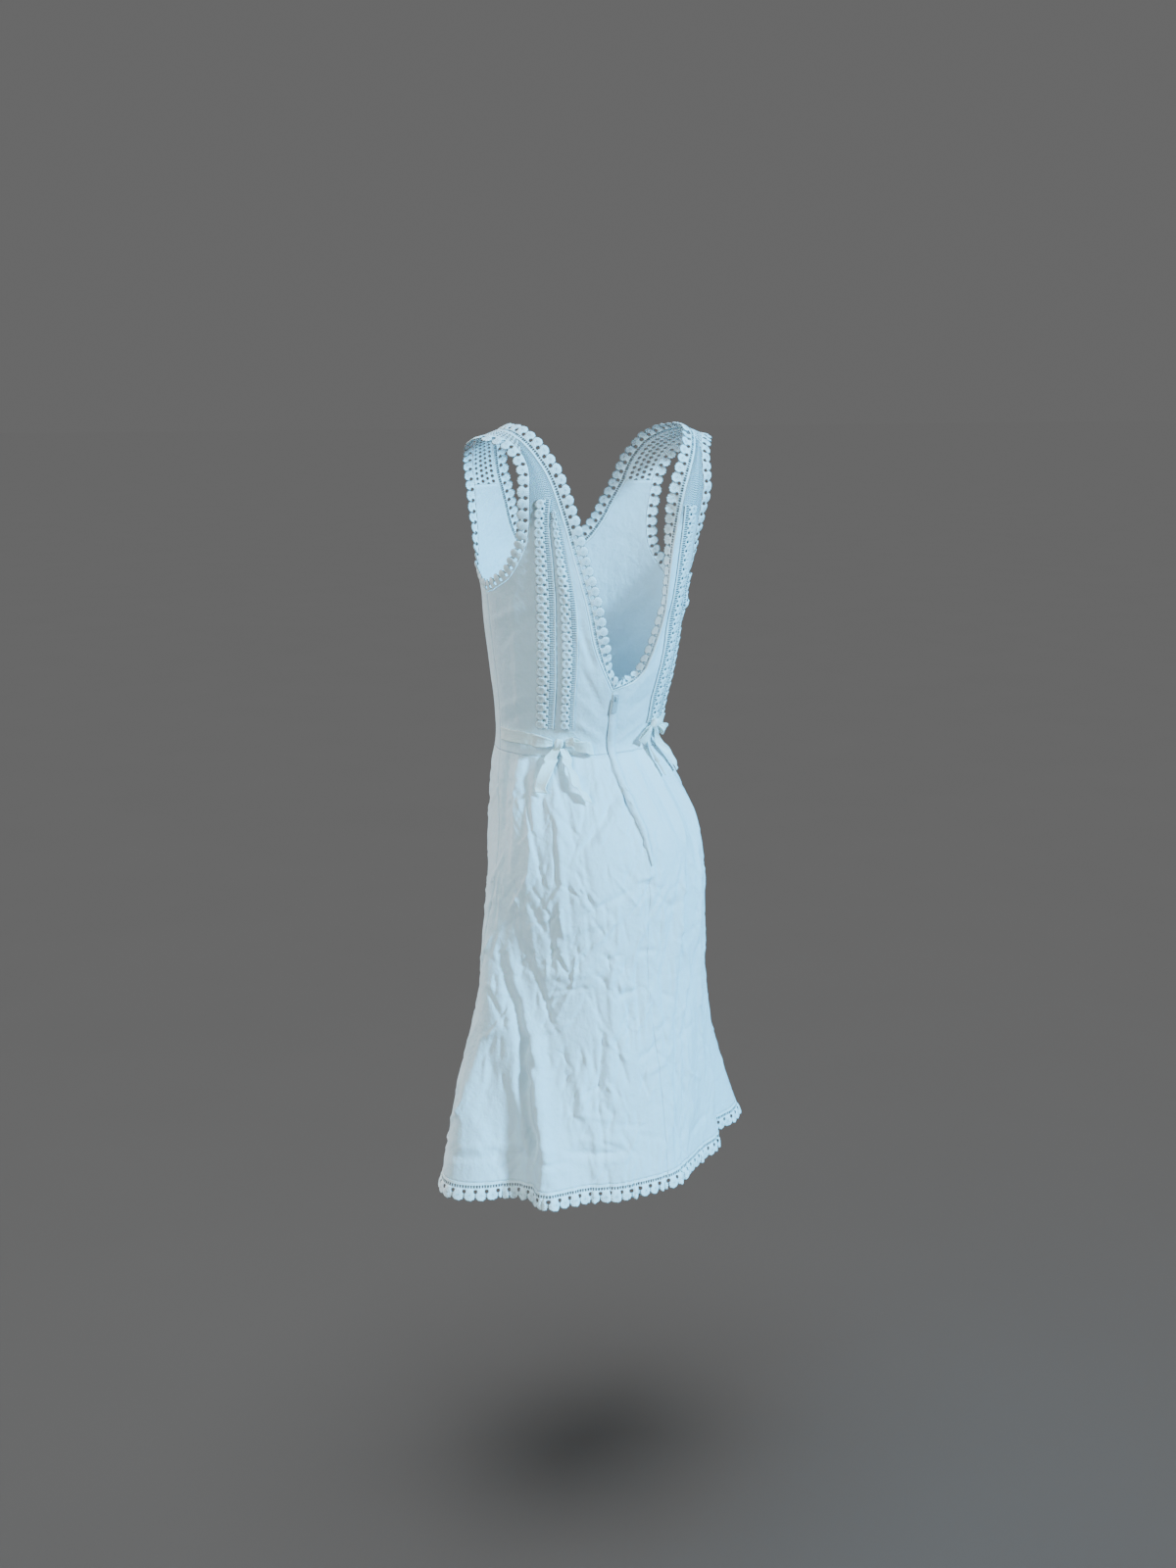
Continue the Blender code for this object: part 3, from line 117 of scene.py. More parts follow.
# Creases of the worn cloth: the turn and height where each starts and ends, its half width, its depth
# (below zero for a trough), and by what share one side of it is wider than the other.
CREASES = (
    # Left upper back: shaded diagonals from the zip towards the shoulder, and pulls at the armhole.
    (12.0, -0.342, 25.0, -0.3, 0.005, -0.0011, 0.3),
    (14.0, -0.356, 28.0, -0.33, 0.0042, 0.0006, 0.2),
    (20.0, -0.288, 30.0, -0.236, 0.0046, -0.0013, -0.2),
    (27.0, -0.262, 40.0, -0.17, 0.006, 0.0011, 0.3),
    (60.0, -0.215, 84.0, -0.236, 0.0062, 0.0007, 0.3),
    (62.0, -0.236, 80.0, -0.268, 0.0058, -0.0006, -0.2),
    (68.0, -0.2, 70.5, -0.36, 0.008, 0.0009, 0.3),
    (62.0, -0.33, 86.0, -0.352, 0.006, 0.0006, 0.2),
    (64.0, -0.352, 84.0, -0.371, 0.0048, -0.0005, 0.0),
    (10.0, -0.385, 26.0, -0.366, 0.0048, 0.0011, 0.2),
    (20.0, -0.398, 36.0, -0.38, 0.004, -0.0009, 0.2),
    # Right upper back.
    (-8.0, -0.335, -24.0, -0.304, 0.0052, 0.0006, -0.2),
    (-14.0, -0.35, -28.0, -0.336, 0.0046, -0.0006, 0.2),
    (-30.0, -0.286, -40.0, -0.226, 0.0052, -0.001, 0.2),
    (-58.0, -0.222, -84.0, -0.24, 0.0064, 0.0018, 0.3),
    (-60.0, -0.246, -78.0, -0.274, 0.0056, -0.0013, -0.3),
    (-64.0, -0.322, -88.0, -0.34, 0.0062, 0.0014, 0.2),
    (-10.0, -0.39, -27.0, -0.372, 0.0044, 0.001, 0.2),
    # Gathers and drag lines from the waist seam, below the bows and beside the zip.
    (57.4, -0.415, 61.6, -0.52, 0.007, 0.0014, 0.3),
    (52.0, -0.413, 54.4, -0.486, 0.004, -0.0012, -0.2),
    (43.8, -0.412, 46.6, -0.508, 0.006, 0.0011, 0.2),
    (36.2, -0.413, 37.4, -0.462, 0.004, -0.0009, 0.2),
    (30.0, -0.412, 31.6, -0.478, 0.0054, 0.0008, -0.2),
    (23.0, -0.412, 24.4, -0.448, 0.004, -0.0007, 0.0),
    (4.3, -0.45, 34.8, -0.513, 0.0038, -0.0017, 0.4),
    (2.0, -0.462, 22.0, -0.498, 0.007, 0.0014, 0.0),
    (48.1, -0.478, 49.4, -0.552, 0.0032, -0.0012, 0.4),
    (48.8, -0.572, 52.4, -0.656, 0.0036, -0.0012, 0.4),
    (45.0, -0.5, 47.6, -0.606, 0.0056, 0.0009, -0.2),
    (64.2, -0.446, 57.4, -0.546, 0.0034, -0.0019, 0.4),
    (46.6, -0.419, 40.5, -0.468, 0.003, -0.0011, 0.4),
    (39.7, -0.474, 37.6, -0.508, 0.003, -0.001, 0.4),
    # Puckers on both sides of the zip.
    (1.2, -0.427, 5.4, -0.438, 0.0028, -0.0011, 0.2),
    (-0.2, -0.455, 4.4, -0.463, 0.0026, 0.001, 0.2),
    (-1.6, -0.486, 3.4, -0.497, 0.003, -0.0011, 0.2),
    (-3.4, -0.512, 0.8, -0.522, 0.0028, 0.0009, 0.2),
    (-9.4, -0.44, -14.0, -0.452, 0.003, 0.0009, 0.2),
    (-11.4, -0.478, -16.4, -0.487, 0.003, -0.0011, 0.2),
    (-13.0, -0.512, -18.0, -0.523, 0.0028, 0.0009, 0.2),
    (5.3, -0.345, 1.2, -0.406, 0.0018, -0.0007, 0.0),
    (1.4, -0.418, -1.4, -0.466, 0.0024, -0.0012, 0.0),
    (-1.0, -0.46, -4.9, -0.522, 0.0024, -0.0011, 0.0),
    (-6.2, -0.446, -9.6, -0.524, 0.002, -0.0012, 0.0),
    (-5.8, -0.52, -6.6, -0.542, 0.0042, 0.001, 0.0),
    (-10.4, -0.45, -12.4, -0.52, 0.004, 0.0008, 0.0),
    (3.0, -0.551, -7.5, -0.548, 0.0034, 0.0014, 0.3),
    (-4.0, -0.558, -12.0, -0.566, 0.0034, -0.0012, 0.3),
    (9.0, -0.474, 23.0, -0.512, 0.0036, -0.0009, -0.3),
    (15.0, -0.414, 17.0, -0.455, 0.0042, 0.0012, 0.2),
    (70.0, -0.413, 76.0, -0.54, 0.0072, 0.0018, 0.2),
    (64.0, -0.413, 67.0, -0.5, 0.005, -0.0013, 0.2),
    (80.0, -0.414, 86.0, -0.5, 0.006, -0.0015, 0.3),
    (-20.0, -0.412, -22.0, -0.48, 0.0052, 0.0013, 0.2),
    (-30.0, -0.413, -34.0, -0.505, 0.0056, -0.0015, -0.2),
    (-37.0, -0.413, -42.0, -0.56, 0.007, 0.0021, 0.3),
    (-46.0, -0.413, -50.0, -0.52, 0.0052, -0.0016, 0.2),
    (-54.0, -0.413, -58.0, -0.54, 0.0068, 0.002, 0.2),
    (-66.0, -0.413, -72.0, -0.5, 0.0056, 0.0014, -0.2),
    (-78.0, -0.414, -86.0, -0.51, 0.0064, -0.0015, 0.2),
    # The back of the skirt: level creases of the seat and fine broken ones near the hem.
    (52.6, -0.691, 31.4, -0.683, 0.0024, -0.0013, 0.4),
    (29.4, -0.688, 27.0, -0.714, 0.0026, -0.001, 0.4),
    (29.8, -0.664, 21.8, -0.678, 0.0026, -0.001, 0.4),
    (59.3, -0.68, 52.0, -0.726, 0.0042, -0.002, 0.3),
    (14.3, -0.695, 5.0, -0.692, 0.0034, -0.0014, 0.4),
    (24.6, -0.746, 26.5, -0.816, 0.0032, -0.0018, 0.4),
    (26.9, -0.824, 24.3, -0.872, 0.0032, -0.0012, 0.4),
    (17.6, -0.748, 10.8, -0.806, 0.0032, -0.0016, -0.4),
    (21.6, -0.742, 19.6, -0.832, 0.0054, 0.0013, 0.0),
    (21.2, -0.67, 18.2, -0.75, 0.005, 0.0016, 0.2),
    (32.0, -0.768, 36.4, -0.852, 0.0052, 0.0016, 0.3),
    (19.6, -0.836, 21.2, -0.87, 0.003, -0.001, 0.3),
    (1.4, -0.643, -8.0, -0.645, 0.0036, -0.0014, 0.4),
    (24.6, -0.579, 6.5, -0.564, 0.0044, -0.0013, 0.3),
    (33.5, -0.897, 15.6, -0.898, 0.0032, -0.0018, 0.4),
    (26.5, -0.877, 12.0, -0.897, 0.0036, -0.0013, 0.3),
    (44.2, -0.764, 42.4, -0.802, 0.0038, -0.0015, 0.3),
    (63.8, -0.583, 55.0, -0.618, 0.0042, -0.0016, 0.3),
    (69.6, -0.629, 59.0, -0.677, 0.0044, -0.0018, 0.3),
    (53.6, -0.596, 52.2, -0.644, 0.004, -0.0014, 0.3),
    (33.4, -0.59, 31.8, -0.636, 0.0032, -0.0008, 0.3),
    (38.6, -0.628, 36.9, -0.664, 0.003, -0.0009, 0.3),
    (43.2, -0.548, 41.0, -0.616, 0.0034, -0.001, 0.4),
    (4.8, -0.675, 2.5, -0.756, 0.004, -0.0013, 0.3),
    (-3.0, -0.56, -8.0, -0.632, 0.0042, -0.0012, 0.3),
    # The deep fold beside the left flute, and the ridge on its right.
    (79.0, -0.65, 69.4, -0.714, 0.0056, -0.0028, 0.4),
    (69.8, -0.702, 62.6, -0.766, 0.0058, -0.0044, 0.4),
    (63.2, -0.752, 61.0, -0.814, 0.006, -0.0052, 0.4),
    (61.6, -0.798, 53.4, -0.892, 0.0078, -0.007, 0.4),
    (54.0, -0.868, 53.0, -0.946, 0.0078, -0.0044, 0.3),
    (73.5, -0.655, 57.5, -0.762, 0.007, 0.0026, -0.2),
    (57.0, -0.75, 45.5, -0.905, 0.0082, 0.004, -0.3),
    (62.6, -0.76, 54.0, -0.791, 0.0038, -0.0022, 0.3),
    (74.5, -0.788, 73.8, -0.856, 0.0046, -0.0014, 0.3),
    (80.0, -0.76, 79.0, -0.85, 0.006, 0.0014, 0.2),
    (58.0, -0.672, 32.0, -0.664, 0.006, 0.0011, 0.3),
    (46.0, -0.612, 18.0, -0.598, 0.007, 0.0011, 0.3),
    (33.0, -0.756, 23.4, -0.826, 0.0034, -0.001, 0.3),
    (38.0, -0.79, 30.0, -0.86, 0.0062, 0.0015, -0.2),
    (2.4, -0.78, -9.2, -0.764, 0.004, -0.0013, 0.2),
    (0.0, -0.8, -12.0, -0.792, 0.0046, 0.001, 0.2),
    (79.3, -0.905, 53.5, -0.9, 0.0046, -0.0016, 0.3),
    (76.0, -0.89, 58.0, -0.884, 0.0052, 0.0011, 0.2),
    (42.9, -0.89, 13.0, -0.897, 0.0044, -0.0013, 0.3),
    (36.0, -0.876, 18.0, -0.88, 0.005, 0.0009, 0.2),
    (20.0, -0.64, 14.0, -0.76, 0.008, 0.0013, 0.3),
    (28.0, -0.86, 26.0, -0.93, 0.0058, 0.0016, 0.2),
    # The right side and its long soft folds.
    (-56.9, -0.467, -45.0, -0.637, 0.008, 0.0022, 0.3),
    (-45.0, -0.637, -50.8, -0.844, 0.0085, 0.0022, 0.2),
    (-42.1, -0.509, -24.0, -0.74, 0.0075, -0.0019, 0.3),
    (-24.0, -0.74, -16.0, -0.917, 0.007, -0.0018, 0.2),
    (-33.0, -0.56, -22.0, -0.7, 0.008, 0.0016, -0.3),
    (-70.0, -0.56, -66.0, -0.72, 0.009, -0.0019, 0.3),
    (-62.0, -0.7, -60.0, -0.88, 0.0075, 0.0018, -0.2),
    (-84.0, -0.6, -82.0, -0.8, 0.0085, 0.0018, 0.2),
    (-18.0, -0.596, -34.0, -0.588, 0.006, -0.001, 0.4),
    (-30.5, -0.549, -12.8, -0.676, 0.0056, -0.0015, 0.3),
    (-12.8, -0.668, -13.4, -0.775, 0.0054, -0.0013, 0.3),
    (-49.1, -0.63, -28.7, -0.764, 0.0056, -0.0015, 0.3),
    (-28.9, -0.755, -26.5, -0.855, 0.0054, -0.0014, 0.3),
    (-17.3, -0.865, -24.2, -0.93, 0.0044, -0.0013, 0.3),
    (-34.0, -0.905, -52.0, -0.899, 0.0046, -0.0012, 0.3),
    # The front, which the photograph doesn't show: the same kinds of drag lines and folds.
    (120.0, -0.3, 150.0, -0.33, 0.008, 0.0014, 0.3),
    (-125.0, -0.29, -152.0, -0.326, 0.0085, 0.0014, 0.3),
    (112.0, -0.38, 140.0, -0.362, 0.006, -0.0011, 0.2),
    (-110.0, -0.384, -138.0, -0.368, 0.0064, 0.0012, 0.2),
    (110.0, -0.214, 126.0, -0.25, 0.0062, -0.0014, -0.2),
    (-108.0, -0.216, -128.0, -0.256, 0.006, -0.0014, 0.2),
    (108.0, -0.413, 112.0, -0.53, 0.0068, 0.0017, 0.2),
    (122.0, -0.413, 126.0, -0.5, 0.0052, -0.0013, 0.2),
    (136.0, -0.413, 138.0, -0.545, 0.0066, 0.0016, -0.2),
    (152.0, -0.413, 153.0, -0.49, 0.0054, -0.0012, 0.2),
    (168.0, -0.413, 170.0, -0.52, 0.006, 0.0014, 0.2),
    (-174.0, -0.413, -174.0, -0.5, 0.0052, -0.0012, 0.2),
    (-158.0, -0.413, -160.0, -0.54, 0.0066, 0.0016, 0.3),
    (-142.0, -0.413, -145.0, -0.5, 0.0054, -0.0013, 0.2),
    (-124.0, -0.413, -128.0, -0.535, 0.0066, 0.0016, 0.2),
    (-106.0, -0.413, -110.0, -0.5, 0.0056, 0.0014, -0.2),
    (104.0, -0.64, 106.0, -0.86, 0.0085, -0.0018, 0.3),
    (160.0, -0.66, 163.0, -0.88, 0.0085, -0.0016, 0.2),
    (-140.0, -0.64, -138.0, -0.86, 0.009, 0.0018, 0.2),
    (-112.0, -0.7, -110.0, -0.9, 0.008, -0.0016, 0.2),
)
# Every crease is this many times as deep as its row says. It fades over this share of its length at
# both ends, and is worked out as far off as this share of its length and this many half widths.
CREASE_GAIN = 2.0
CREASE_FADE = 0.12
CREASE_LENGTH_REACH = 0.3
CREASE_WIDTH_REACH = 4

# Crinkles: the zones of the cloth by the height of their top and bottom, with the number of crinkles
# and their depth. Then the ranges of their lengths and half widths, the spread of their slant, the
# range of their shares of the depth, the shares of troughs and ridges among them, their lean, and the
# turn where they are deepest, with the mean and the swing of their depth round the dress.
CRINKLE_SEED = 7
CRINKLE_ZONES = (
    (-0.1, -0.408, 240, 0.00022),
    (-0.415, -0.56, 340, 0.00078),
    (-0.54, -0.945, 1100, 0.00125),
)
CRINKLE_LENGTH = (0.014, 0.052)
CRINKLE_WIDTH = (0.0016, 0.0034)
CRINKLE_SLANT = 34.0
CRINKLE_SHARE = (0.4, 1.0)
CRINKLE_KINDS = (0.6, 0.4)
CRINKLE_LEAN = 0.3
CRINKLE_DEEPEST = 35.0
CRINKLE_MEAN = 0.65
CRINKLE_SWING = 0.35

# The edge of the lapped zip, which is the centre back line of both back panels, by height.
LAP_COLUMNS = ("height", "x")
LAP_EDGE = (
    (-0.957, -0.024),
    (-0.86, -0.023),
    (-0.78, -0.017),
    (-0.7, -0.008),
    (-0.64, -0.007),
    (-0.58, -0.012),
    (-0.532, -0.0128),
    (-0.497, -0.01),
    (-0.46, -0.0032),
    (-0.408, 0.0005),
    (-0.36, 0.007),
    (-0.324, 0.0098),
)
# The two upright edges of each upper back panel, by height up to the chest. A panel with no X at
# its arm side ends at the side seam. The last row continues over the shoulder.
BACK_COLUMNS = ("height", "v_left", "v_right", "arm")
BACK_EDGES = (
    (-0.324, 0.0098, 0.0098, None),
    (-0.319, 0.0128, -0.011, None),
    (-0.306, 0.02, -0.0335, None),
    (-0.288, 0.029, -0.045, None),
    (-0.262, 0.0388, -0.0565, None),
    (-0.232, 0.0458, -0.0665, None),
    (-0.203, 0.053, -0.0696, None),
    (-0.196, 0.0552, -0.0703, 0.1325),
    (-0.184, 0.0585, -0.0713, 0.1272),
    (-0.165, 0.064, -0.0735, 0.1215),
    (-0.142, 0.0705, -0.0765, 0.1165),
    (-0.12, 0.077, -0.0812, 0.116),
    (-0.1, 0.0835, -0.0855, 0.1175),
    (-0.075, 0.092, -0.092, 0.119),
)
# The same edges over the shoulder, from the back of the chest to the front of it: a row is an angle
# over it, 90 at the top of the strap.
STRAP_COLUMNS = ("over", "neck", "arm")
STRAP_EDGES = (
    (0.0, 0.092, 0.119),
    (15.0, 0.0998, 0.118),
    (30.0, 0.1092, 0.1205),
    (45.0, 0.117, 0.126),
    (56.0, 0.122, 0.131),
    (76.0, 0.1285, 0.1425),
    (90.0, 0.131, 0.147),
    (110.0, 0.126, 0.147),
    (130.0, 0.116, 0.142),
    (150.0, 0.105, 0.135),
    (180.0, 0.092, 0.126),
)
SHOULDER_SEAM_NECK = 56.0
SHOULDER_SEAM_ARM = 37.0
# The top edge of the front panel, in X and height, from the left side seam, which has no X, to the
# centre front: armhole, strap end and neckline. Then how late the columns of the panel bend towards
# it, and the rows of the table at both ends of the strap.
FRONT_TOP = (
    (None, -0.203),
    (0.1325, -0.196),
    (0.1285, -0.184),
    (0.122, -0.162),
    (0.1205, -0.13),
    (0.1235, -0.1),
    (0.126, -0.0753),
    (0.109, -0.0753),
    (0.092, -0.0753),
    (0.0805, -0.102),
    (0.069, -0.13),
    (0.052, -0.155),
    (0.028, -0.17),
    (0.0, -0.175),
)
FRONT_BEND = 3.0
STRAP_ARM_COLUMN = 6
STRAP_NECK_COLUMN = 8
# Crochet edgings: the width, the pitch of the discs, the gap at the seam between the outer faces, a
# disc's radius, and from the heading the middles of the discs, of the slots and of the eyelets.
EDGING_COLUMNS = ("width", "pitch", "gap", "radius", "middle", "slots", "eyelets")
EDGINGS = {
    "neck": (0.0210, 0.0125, 0.0003, 0.0071, 0.0139, 0.0044, 0.0098),
    "arm": (0.0150, 0.0138, 0.0005, 0.0077, 0.0073, None, 0.0044),
    "hem": (0.0240, 0.0142, 0.00012, 0.0081, 0.0159, 0.0052, 0.0113),
}
EYELET_RADIUS = 0.0022
SLOTS_A_DISC = 4
SLOT_HALF_WIDTH = 0.0007
SLOT_HALF_LENGTH = 0.0016
SKIRT_BOTTOM = HEM + EDGINGS["hem"][EDGING_COLUMNS.index("width")] + SEAM
# How the trims of the V lie, by the length from its lowest point: the share of their full width,
# and the angle that each turns inwards. Then the mitre where they meet, and how far up it reaches.
V_TRIM_COLUMNS = ("length", "share", "left", "right")
V_TRIM = (
    (0.0, 0.76, 15.0, 15.0),
    (0.012, 0.62, 32.0, 40.0),
    (0.03, 0.76, 30.0, 70.0),
    (0.06, 0.97, 12.0, 100.0),
    (0.1, 1.0, 0.0, 118.0),
    (0.19, 1.0, 0.0, 116.0),
    (0.225, 1.0, 0.0, 95.0),
    (0.26, 1.0, 0.0, 60.0),
    (0.31, 1.0, 0.0, 20.0),
    (0.36, 1.0, 0.0, 0.0),
    (0.42, 1.0, 0.0, 0.0),
)
V_MITRE = (-0.0085, 0.0020, 0.0135)
V_MITRE_LENGTH = 0.030
# Half the gap between the ends of the two hem edgings.
HEM_JOIN = 0.0004
# Crochet strips on the upper back: the turns of the scalloped outer edge and of the straight inner
# edge of each, by height. Those of the right side are read as turns to the right.
STRIP_COLUMNS = ("height", "outer", "inner")
STRIPS = {
    "left_outer": (
        (-0.371, 57.4, 44.6),
        (-0.337, 56.4, 43.2),
        (-0.264, 54.5, 42.5),
        (-0.2, 54.5, 43.2),
        (-0.16, 55.0, 45.2),
        (-0.115, 55.0, 48.0),
        (-0.085, 54.5, 48.4),
    ),
    "left_inner": (
        (-0.371, 40.4, 30.4),
        (-0.337, 40.0, 30.4),
        (-0.262, 39.7, 29.4),
        (-0.2, 41.6, 32.3),
        (-0.159, 43.8, 36.8),
        (-0.119, 46.4, 41.8),
        (-0.098, 47.0, 44.6),
    ),
    "right_outer": (
        (-0.371, 60.5, 48.6),
        (-0.337, 59.5, 47.4),
        (-0.285, 62.0, 50.4),
        (-0.225, 64.5, 53.8),
        (-0.185, 66.0, 55.2),
    ),
    "right_inner": (
        (-0.371, 46.5, 33.5),
        (-0.337, 45.3, 31.5),
        (-0.31, 46.0, 32.5),
        (-0.285, 48.3, 34.5),
        (-0.225, 51.8, 38.5),
        (-0.157, 53.8, 43.0),
        (-0.098, 53.0, 45.0),
    ),
}
STRIP_PITCH = 0.0113
# How far a strip lies outside the cloth's face, and how much more its middle does.
STRIP_OUT = 0.0020
STRIP_CROWN = 0.0006
# The lap over the zip: its rows by height, with the distances of its two edges from the centre back
# line and how far its middle is raised.
ZIP_LAP_COLUMNS = ("height", "near", "far", "raised")
ZIP_LAP = (
    (-0.337, 0.0004, 0.009, 0.0004),
    (-0.36, 0.0004, 0.0092, 0.0006),
    (-0.385, 0.0004, 0.0094, 0.0014),
    (-0.408, 0.0004, 0.0096, 0.002),
    (-0.432, 0.0004, 0.0096, 0.0018),
    (-0.458, 0.0004, 0.0093, 0.0036),
    (-0.485, 0.0006, 0.0084, 0.0038),
    (-0.515, 0.0008, 0.0074, 0.0024),
    (-0.536, 0.0024, 0.0056, 0.001),
)
# How far the lap's free edge rolls down, how full its middle is, and the height and length of its
# ripples.
ZIP_ROLL = 1.15
ZIP_FULLNESS = 0.7
ZIP_RIPPLE = 0.00040
ZIP_RIPPLE_LENGTH = 0.0062
# The ribbons of the bows. A row is a turn and a height, the distance out of the cloth, the width, the
# angle of the width from level, where 90 is upright, and the angle that it is turned out of the cloth.
RIBBONS = {
    "tie_left_band": (
        (45.6, -0.388, 0.0044, 0.0085, 90, 0),
        (49.0, -0.3878, 0.004, 0.012, 92, 0),
        (55.0, -0.3865, 0.0036, 0.0155, 93, 0),
        (62.0, -0.3855, 0.003, 0.0165, 92, 0),
        (69.0, -0.385, 0.0026, 0.0165, 91, 0),
        (76.0, -0.385, 0.0023, 0.0165, 90, 0),
        (82.0, -0.385, 0.002, 0.0165, 90, 0),
        (88.0, -0.385, 0.0016, 0.0165, 90, 0),
    ),
    "tie_left_loop_large": (
        (36.2, -0.3875, 0.0066, 0.0095, 90, 0),
        (30.5, -0.3862, 0.0106, 0.0155, 88, 0),
        (23.0, -0.389, 0.0124, 0.0178, 84, 0),
        (17.5, -0.3945, 0.0104, 0.0178, 78, 0),
        (15.8, -0.3975, 0.0068, 0.0155, 76, 0),
        (17.6, -0.395, 0.0046, 0.0155, 78, 0),
        (23.5, -0.3915, 0.004, 0.0145, 84, 0),
        (30.5, -0.3892, 0.0034, 0.011, 88, 0),
        (36.0, -0.3885, 0.0034, 0.006, 90, 0),
    ),
    "tie_left_loop_small": (
        (45.1, -0.386, 0.0092, 0.0085, 92, 0),
        (50.0, -0.3835, 0.0128, 0.0145, 95, 0),
        (55.0, -0.383, 0.0128, 0.0165, 98, 0),
        (58.0, -0.3842, 0.0102, 0.0145, 98, 0),
        (56.0, -0.385, 0.0076, 0.014, 98, 0),
        (51.0, -0.3855, 0.0068, 0.011, 95, 0),
        (45.6, -0.3875, 0.0068, 0.005, 92, 0),
    ),
    "tie_left_tail_front": (
        (38.8, -0.3962, 0.0054, 0.009, 5, 4),
        (36.8, -0.409, 0.008, 0.013, 14, 14),
        (33.6, -0.426, 0.0092, 0.014, 20, 20),
        (30.0, -0.444, 0.0094, 0.014, 24, 18),
        (26.6, -0.461, 0.0088, 0.014, 26, 10),
    ),
    "tie_left_tail_back": (
        (43.0, -0.3962, 0.0056, 0.011, -8, 4),
        (45.8, -0.408, 0.008, 0.016, -12, 12),
        (48.8, -0.423, 0.0088, 0.0168, -12, 14),
        (51.0, -0.438, 0.009, 0.0172, -8, 14),
        (52.8, -0.4526, 0.0088, 0.0166, -6, 12),
    ),
    "tie_right_band": (
        (-44.6, -0.3715, 0.0046, 0.0085, 90, 0),
        (-49.0, -0.372, 0.0046, 0.013, 90, 0),
        (-55.0, -0.3733, 0.0045, 0.016, 91, 0),
        (-62.0, -0.376, 0.0044, 0.0165, 92, 0),
        (-69.0, -0.3795, 0.0034, 0.0165, 92, 0),
        (-76.0, -0.3825, 0.0026, 0.0165, 91, 0),
        (-82.0, -0.384, 0.0021, 0.0165, 90, 0),
        (-88.0, -0.385, 0.0016, 0.0165, 90, 0),
    ),
    "tie_right_loop_large": (
        (-36.0, -0.3745, 0.0076, 0.005, 60, 0),
        (-32.4, -0.38, 0.011, 0.011, 48, 0),
        (-30.0, -0.3885, 0.0112, 0.014, 38, 0),
        (-29.4, -0.395, 0.009, 0.014, 30, 0),
        (-30.6, -0.396, 0.0064, 0.013, 32, 0),
        (-32.4, -0.389, 0.0044, 0.012, 40, 0),
        (-34.6, -0.381, 0.0042, 0.009, 48, 0),
        (-36.8, -0.3762, 0.0044, 0.005, 60, 0),
    ),
    "tie_right_loop_small": (
        (-43.7, -0.3735, 0.0096, 0.005, -62, 0),
        (-49.0, -0.3765, 0.0136, 0.0105, -58, 0),
        (-53.0, -0.3815, 0.014, 0.013, -52, 0),
        (-54.6, -0.386, 0.0116, 0.013, -48, 0),
        (-53.0, -0.384, 0.0088, 0.012, -52, 0),
        (-48.8, -0.379, 0.0078, 0.009, -58, 0),
        (-44.5, -0.3752, 0.0074, 0.0045, -62, 0),
    ),
    "tie_right_tail_front": (
        (-39.0, -0.3802, 0.0052, 0.0055, 0, 8),
        (-38.8, -0.393, 0.0054, 0.012, 0, 18),
        (-39.2, -0.408, 0.0054, 0.015, 0, 24),
        (-40.4, -0.426, 0.0052, 0.0155, -2, 20),
        (-41.7, -0.443, 0.005, 0.0155, -4, 14),
    ),
    "tie_right_tail_back": (
        (-42.2, -0.3781, 0.0066, 0.0046, 16, -10),
        (-48.6, -0.393, 0.008, 0.011, 20, -22),
        (-52.6, -0.408, 0.0084, 0.014, 20, -26),
        (-56.0, -0.426, 0.0074, 0.0145, 16, -20),
        (-58.5, -0.443, 0.0064, 0.0145, 12, -14),
    ),
}
# A ribbon's cut width, the height and number of the pleats where it is drawn in, the height of its
# curl across and the part of the curl that lies below its middle, and the points of its grid.
RIBBON_WIDTH = 0.0168
RIBBON_PLEAT = 0.0009
RIBBON_PLEATS = 2.5
RIBBON_CURL = 0.0008
CURL_BELOW = 0.4
RIBBON_FINENESS = 8
RIBBON_WIDE = 13
# The knots: turn, height and distance out of the middle. Then their half size round, up and out, the
# depth, number and slant of the bands round them, and the points of their grid.
KNOTS = {"tie_left_knot": (41.0, -0.388, 0.0074), "tie_right_knot": (-39.8, -0.3715, 0.0074)}
KNOT_HALF_SIZE = (0.0080, 0.0070, 0.0044)
KNOT_BAND = 0.30
KNOT_BANDS = 7
KNOT_SLANT = 1.6
KNOT_ROUND = 40
KNOT_TALL = 24

# The heights of the bottom of the V, of where its sides spread, of the underarm and of the hips. The
# point inside the garment that sheets face away from: its Y and its greatest height.
V_LOW = -0.3240
V_SPREAD = -0.3060
UNDERARM = -0.2030
HIP = -0.5550
INNER_Y = -0.03
INNER_TOP = -0.16

# The points of the grids: those up the back panels are given from the waist to the bottom of the V,
# to where it spreads, to the underarm and to the chest, and those down the skirt to the hips and on.
BACK_ROWS = (31, 11, 35, 41)
BACK_PANEL_COLUMNS = 70
SHOULDER_ROWS = 12
FRONT_FINENESS = 4
FRONT_PANEL_ROWS = 84
SKIRT_COLUMNS = {"skirt_back_left": 156, "skirt_back_right": 116, "skirt_front": 112}
SKIRT_ROWS = (62, 126)
ZIP_LAP_ROWS = 110
ZIP_LAP_WIDE = 12
EVEN_FINENESS = 3
STRAP_EDGE_POINTS = 61
STRAP_EDGE_STEP = 0.04

# The fine grid that the form's reach is read from: its steps, how far past the ends it goes, and where
# its last cell starts, counted from the end. Then the steps in turn and height to the neighbours that
# give the form's directions.
GRID_HEIGHT = 0.00125
GRID_TURN = 0.5
GRID_MARGIN = 0.02
LAST_CELL = 1.001
NEAR_TURN = 0.5
NEAR_HEIGHT = 0.002
# The turns of one half of the form, and the steps in which an X is looked for among them.
HALF_TURN = (-90.0, 90.5)
TURN_STEP = 0.5
CHEST_STEP = 0.25
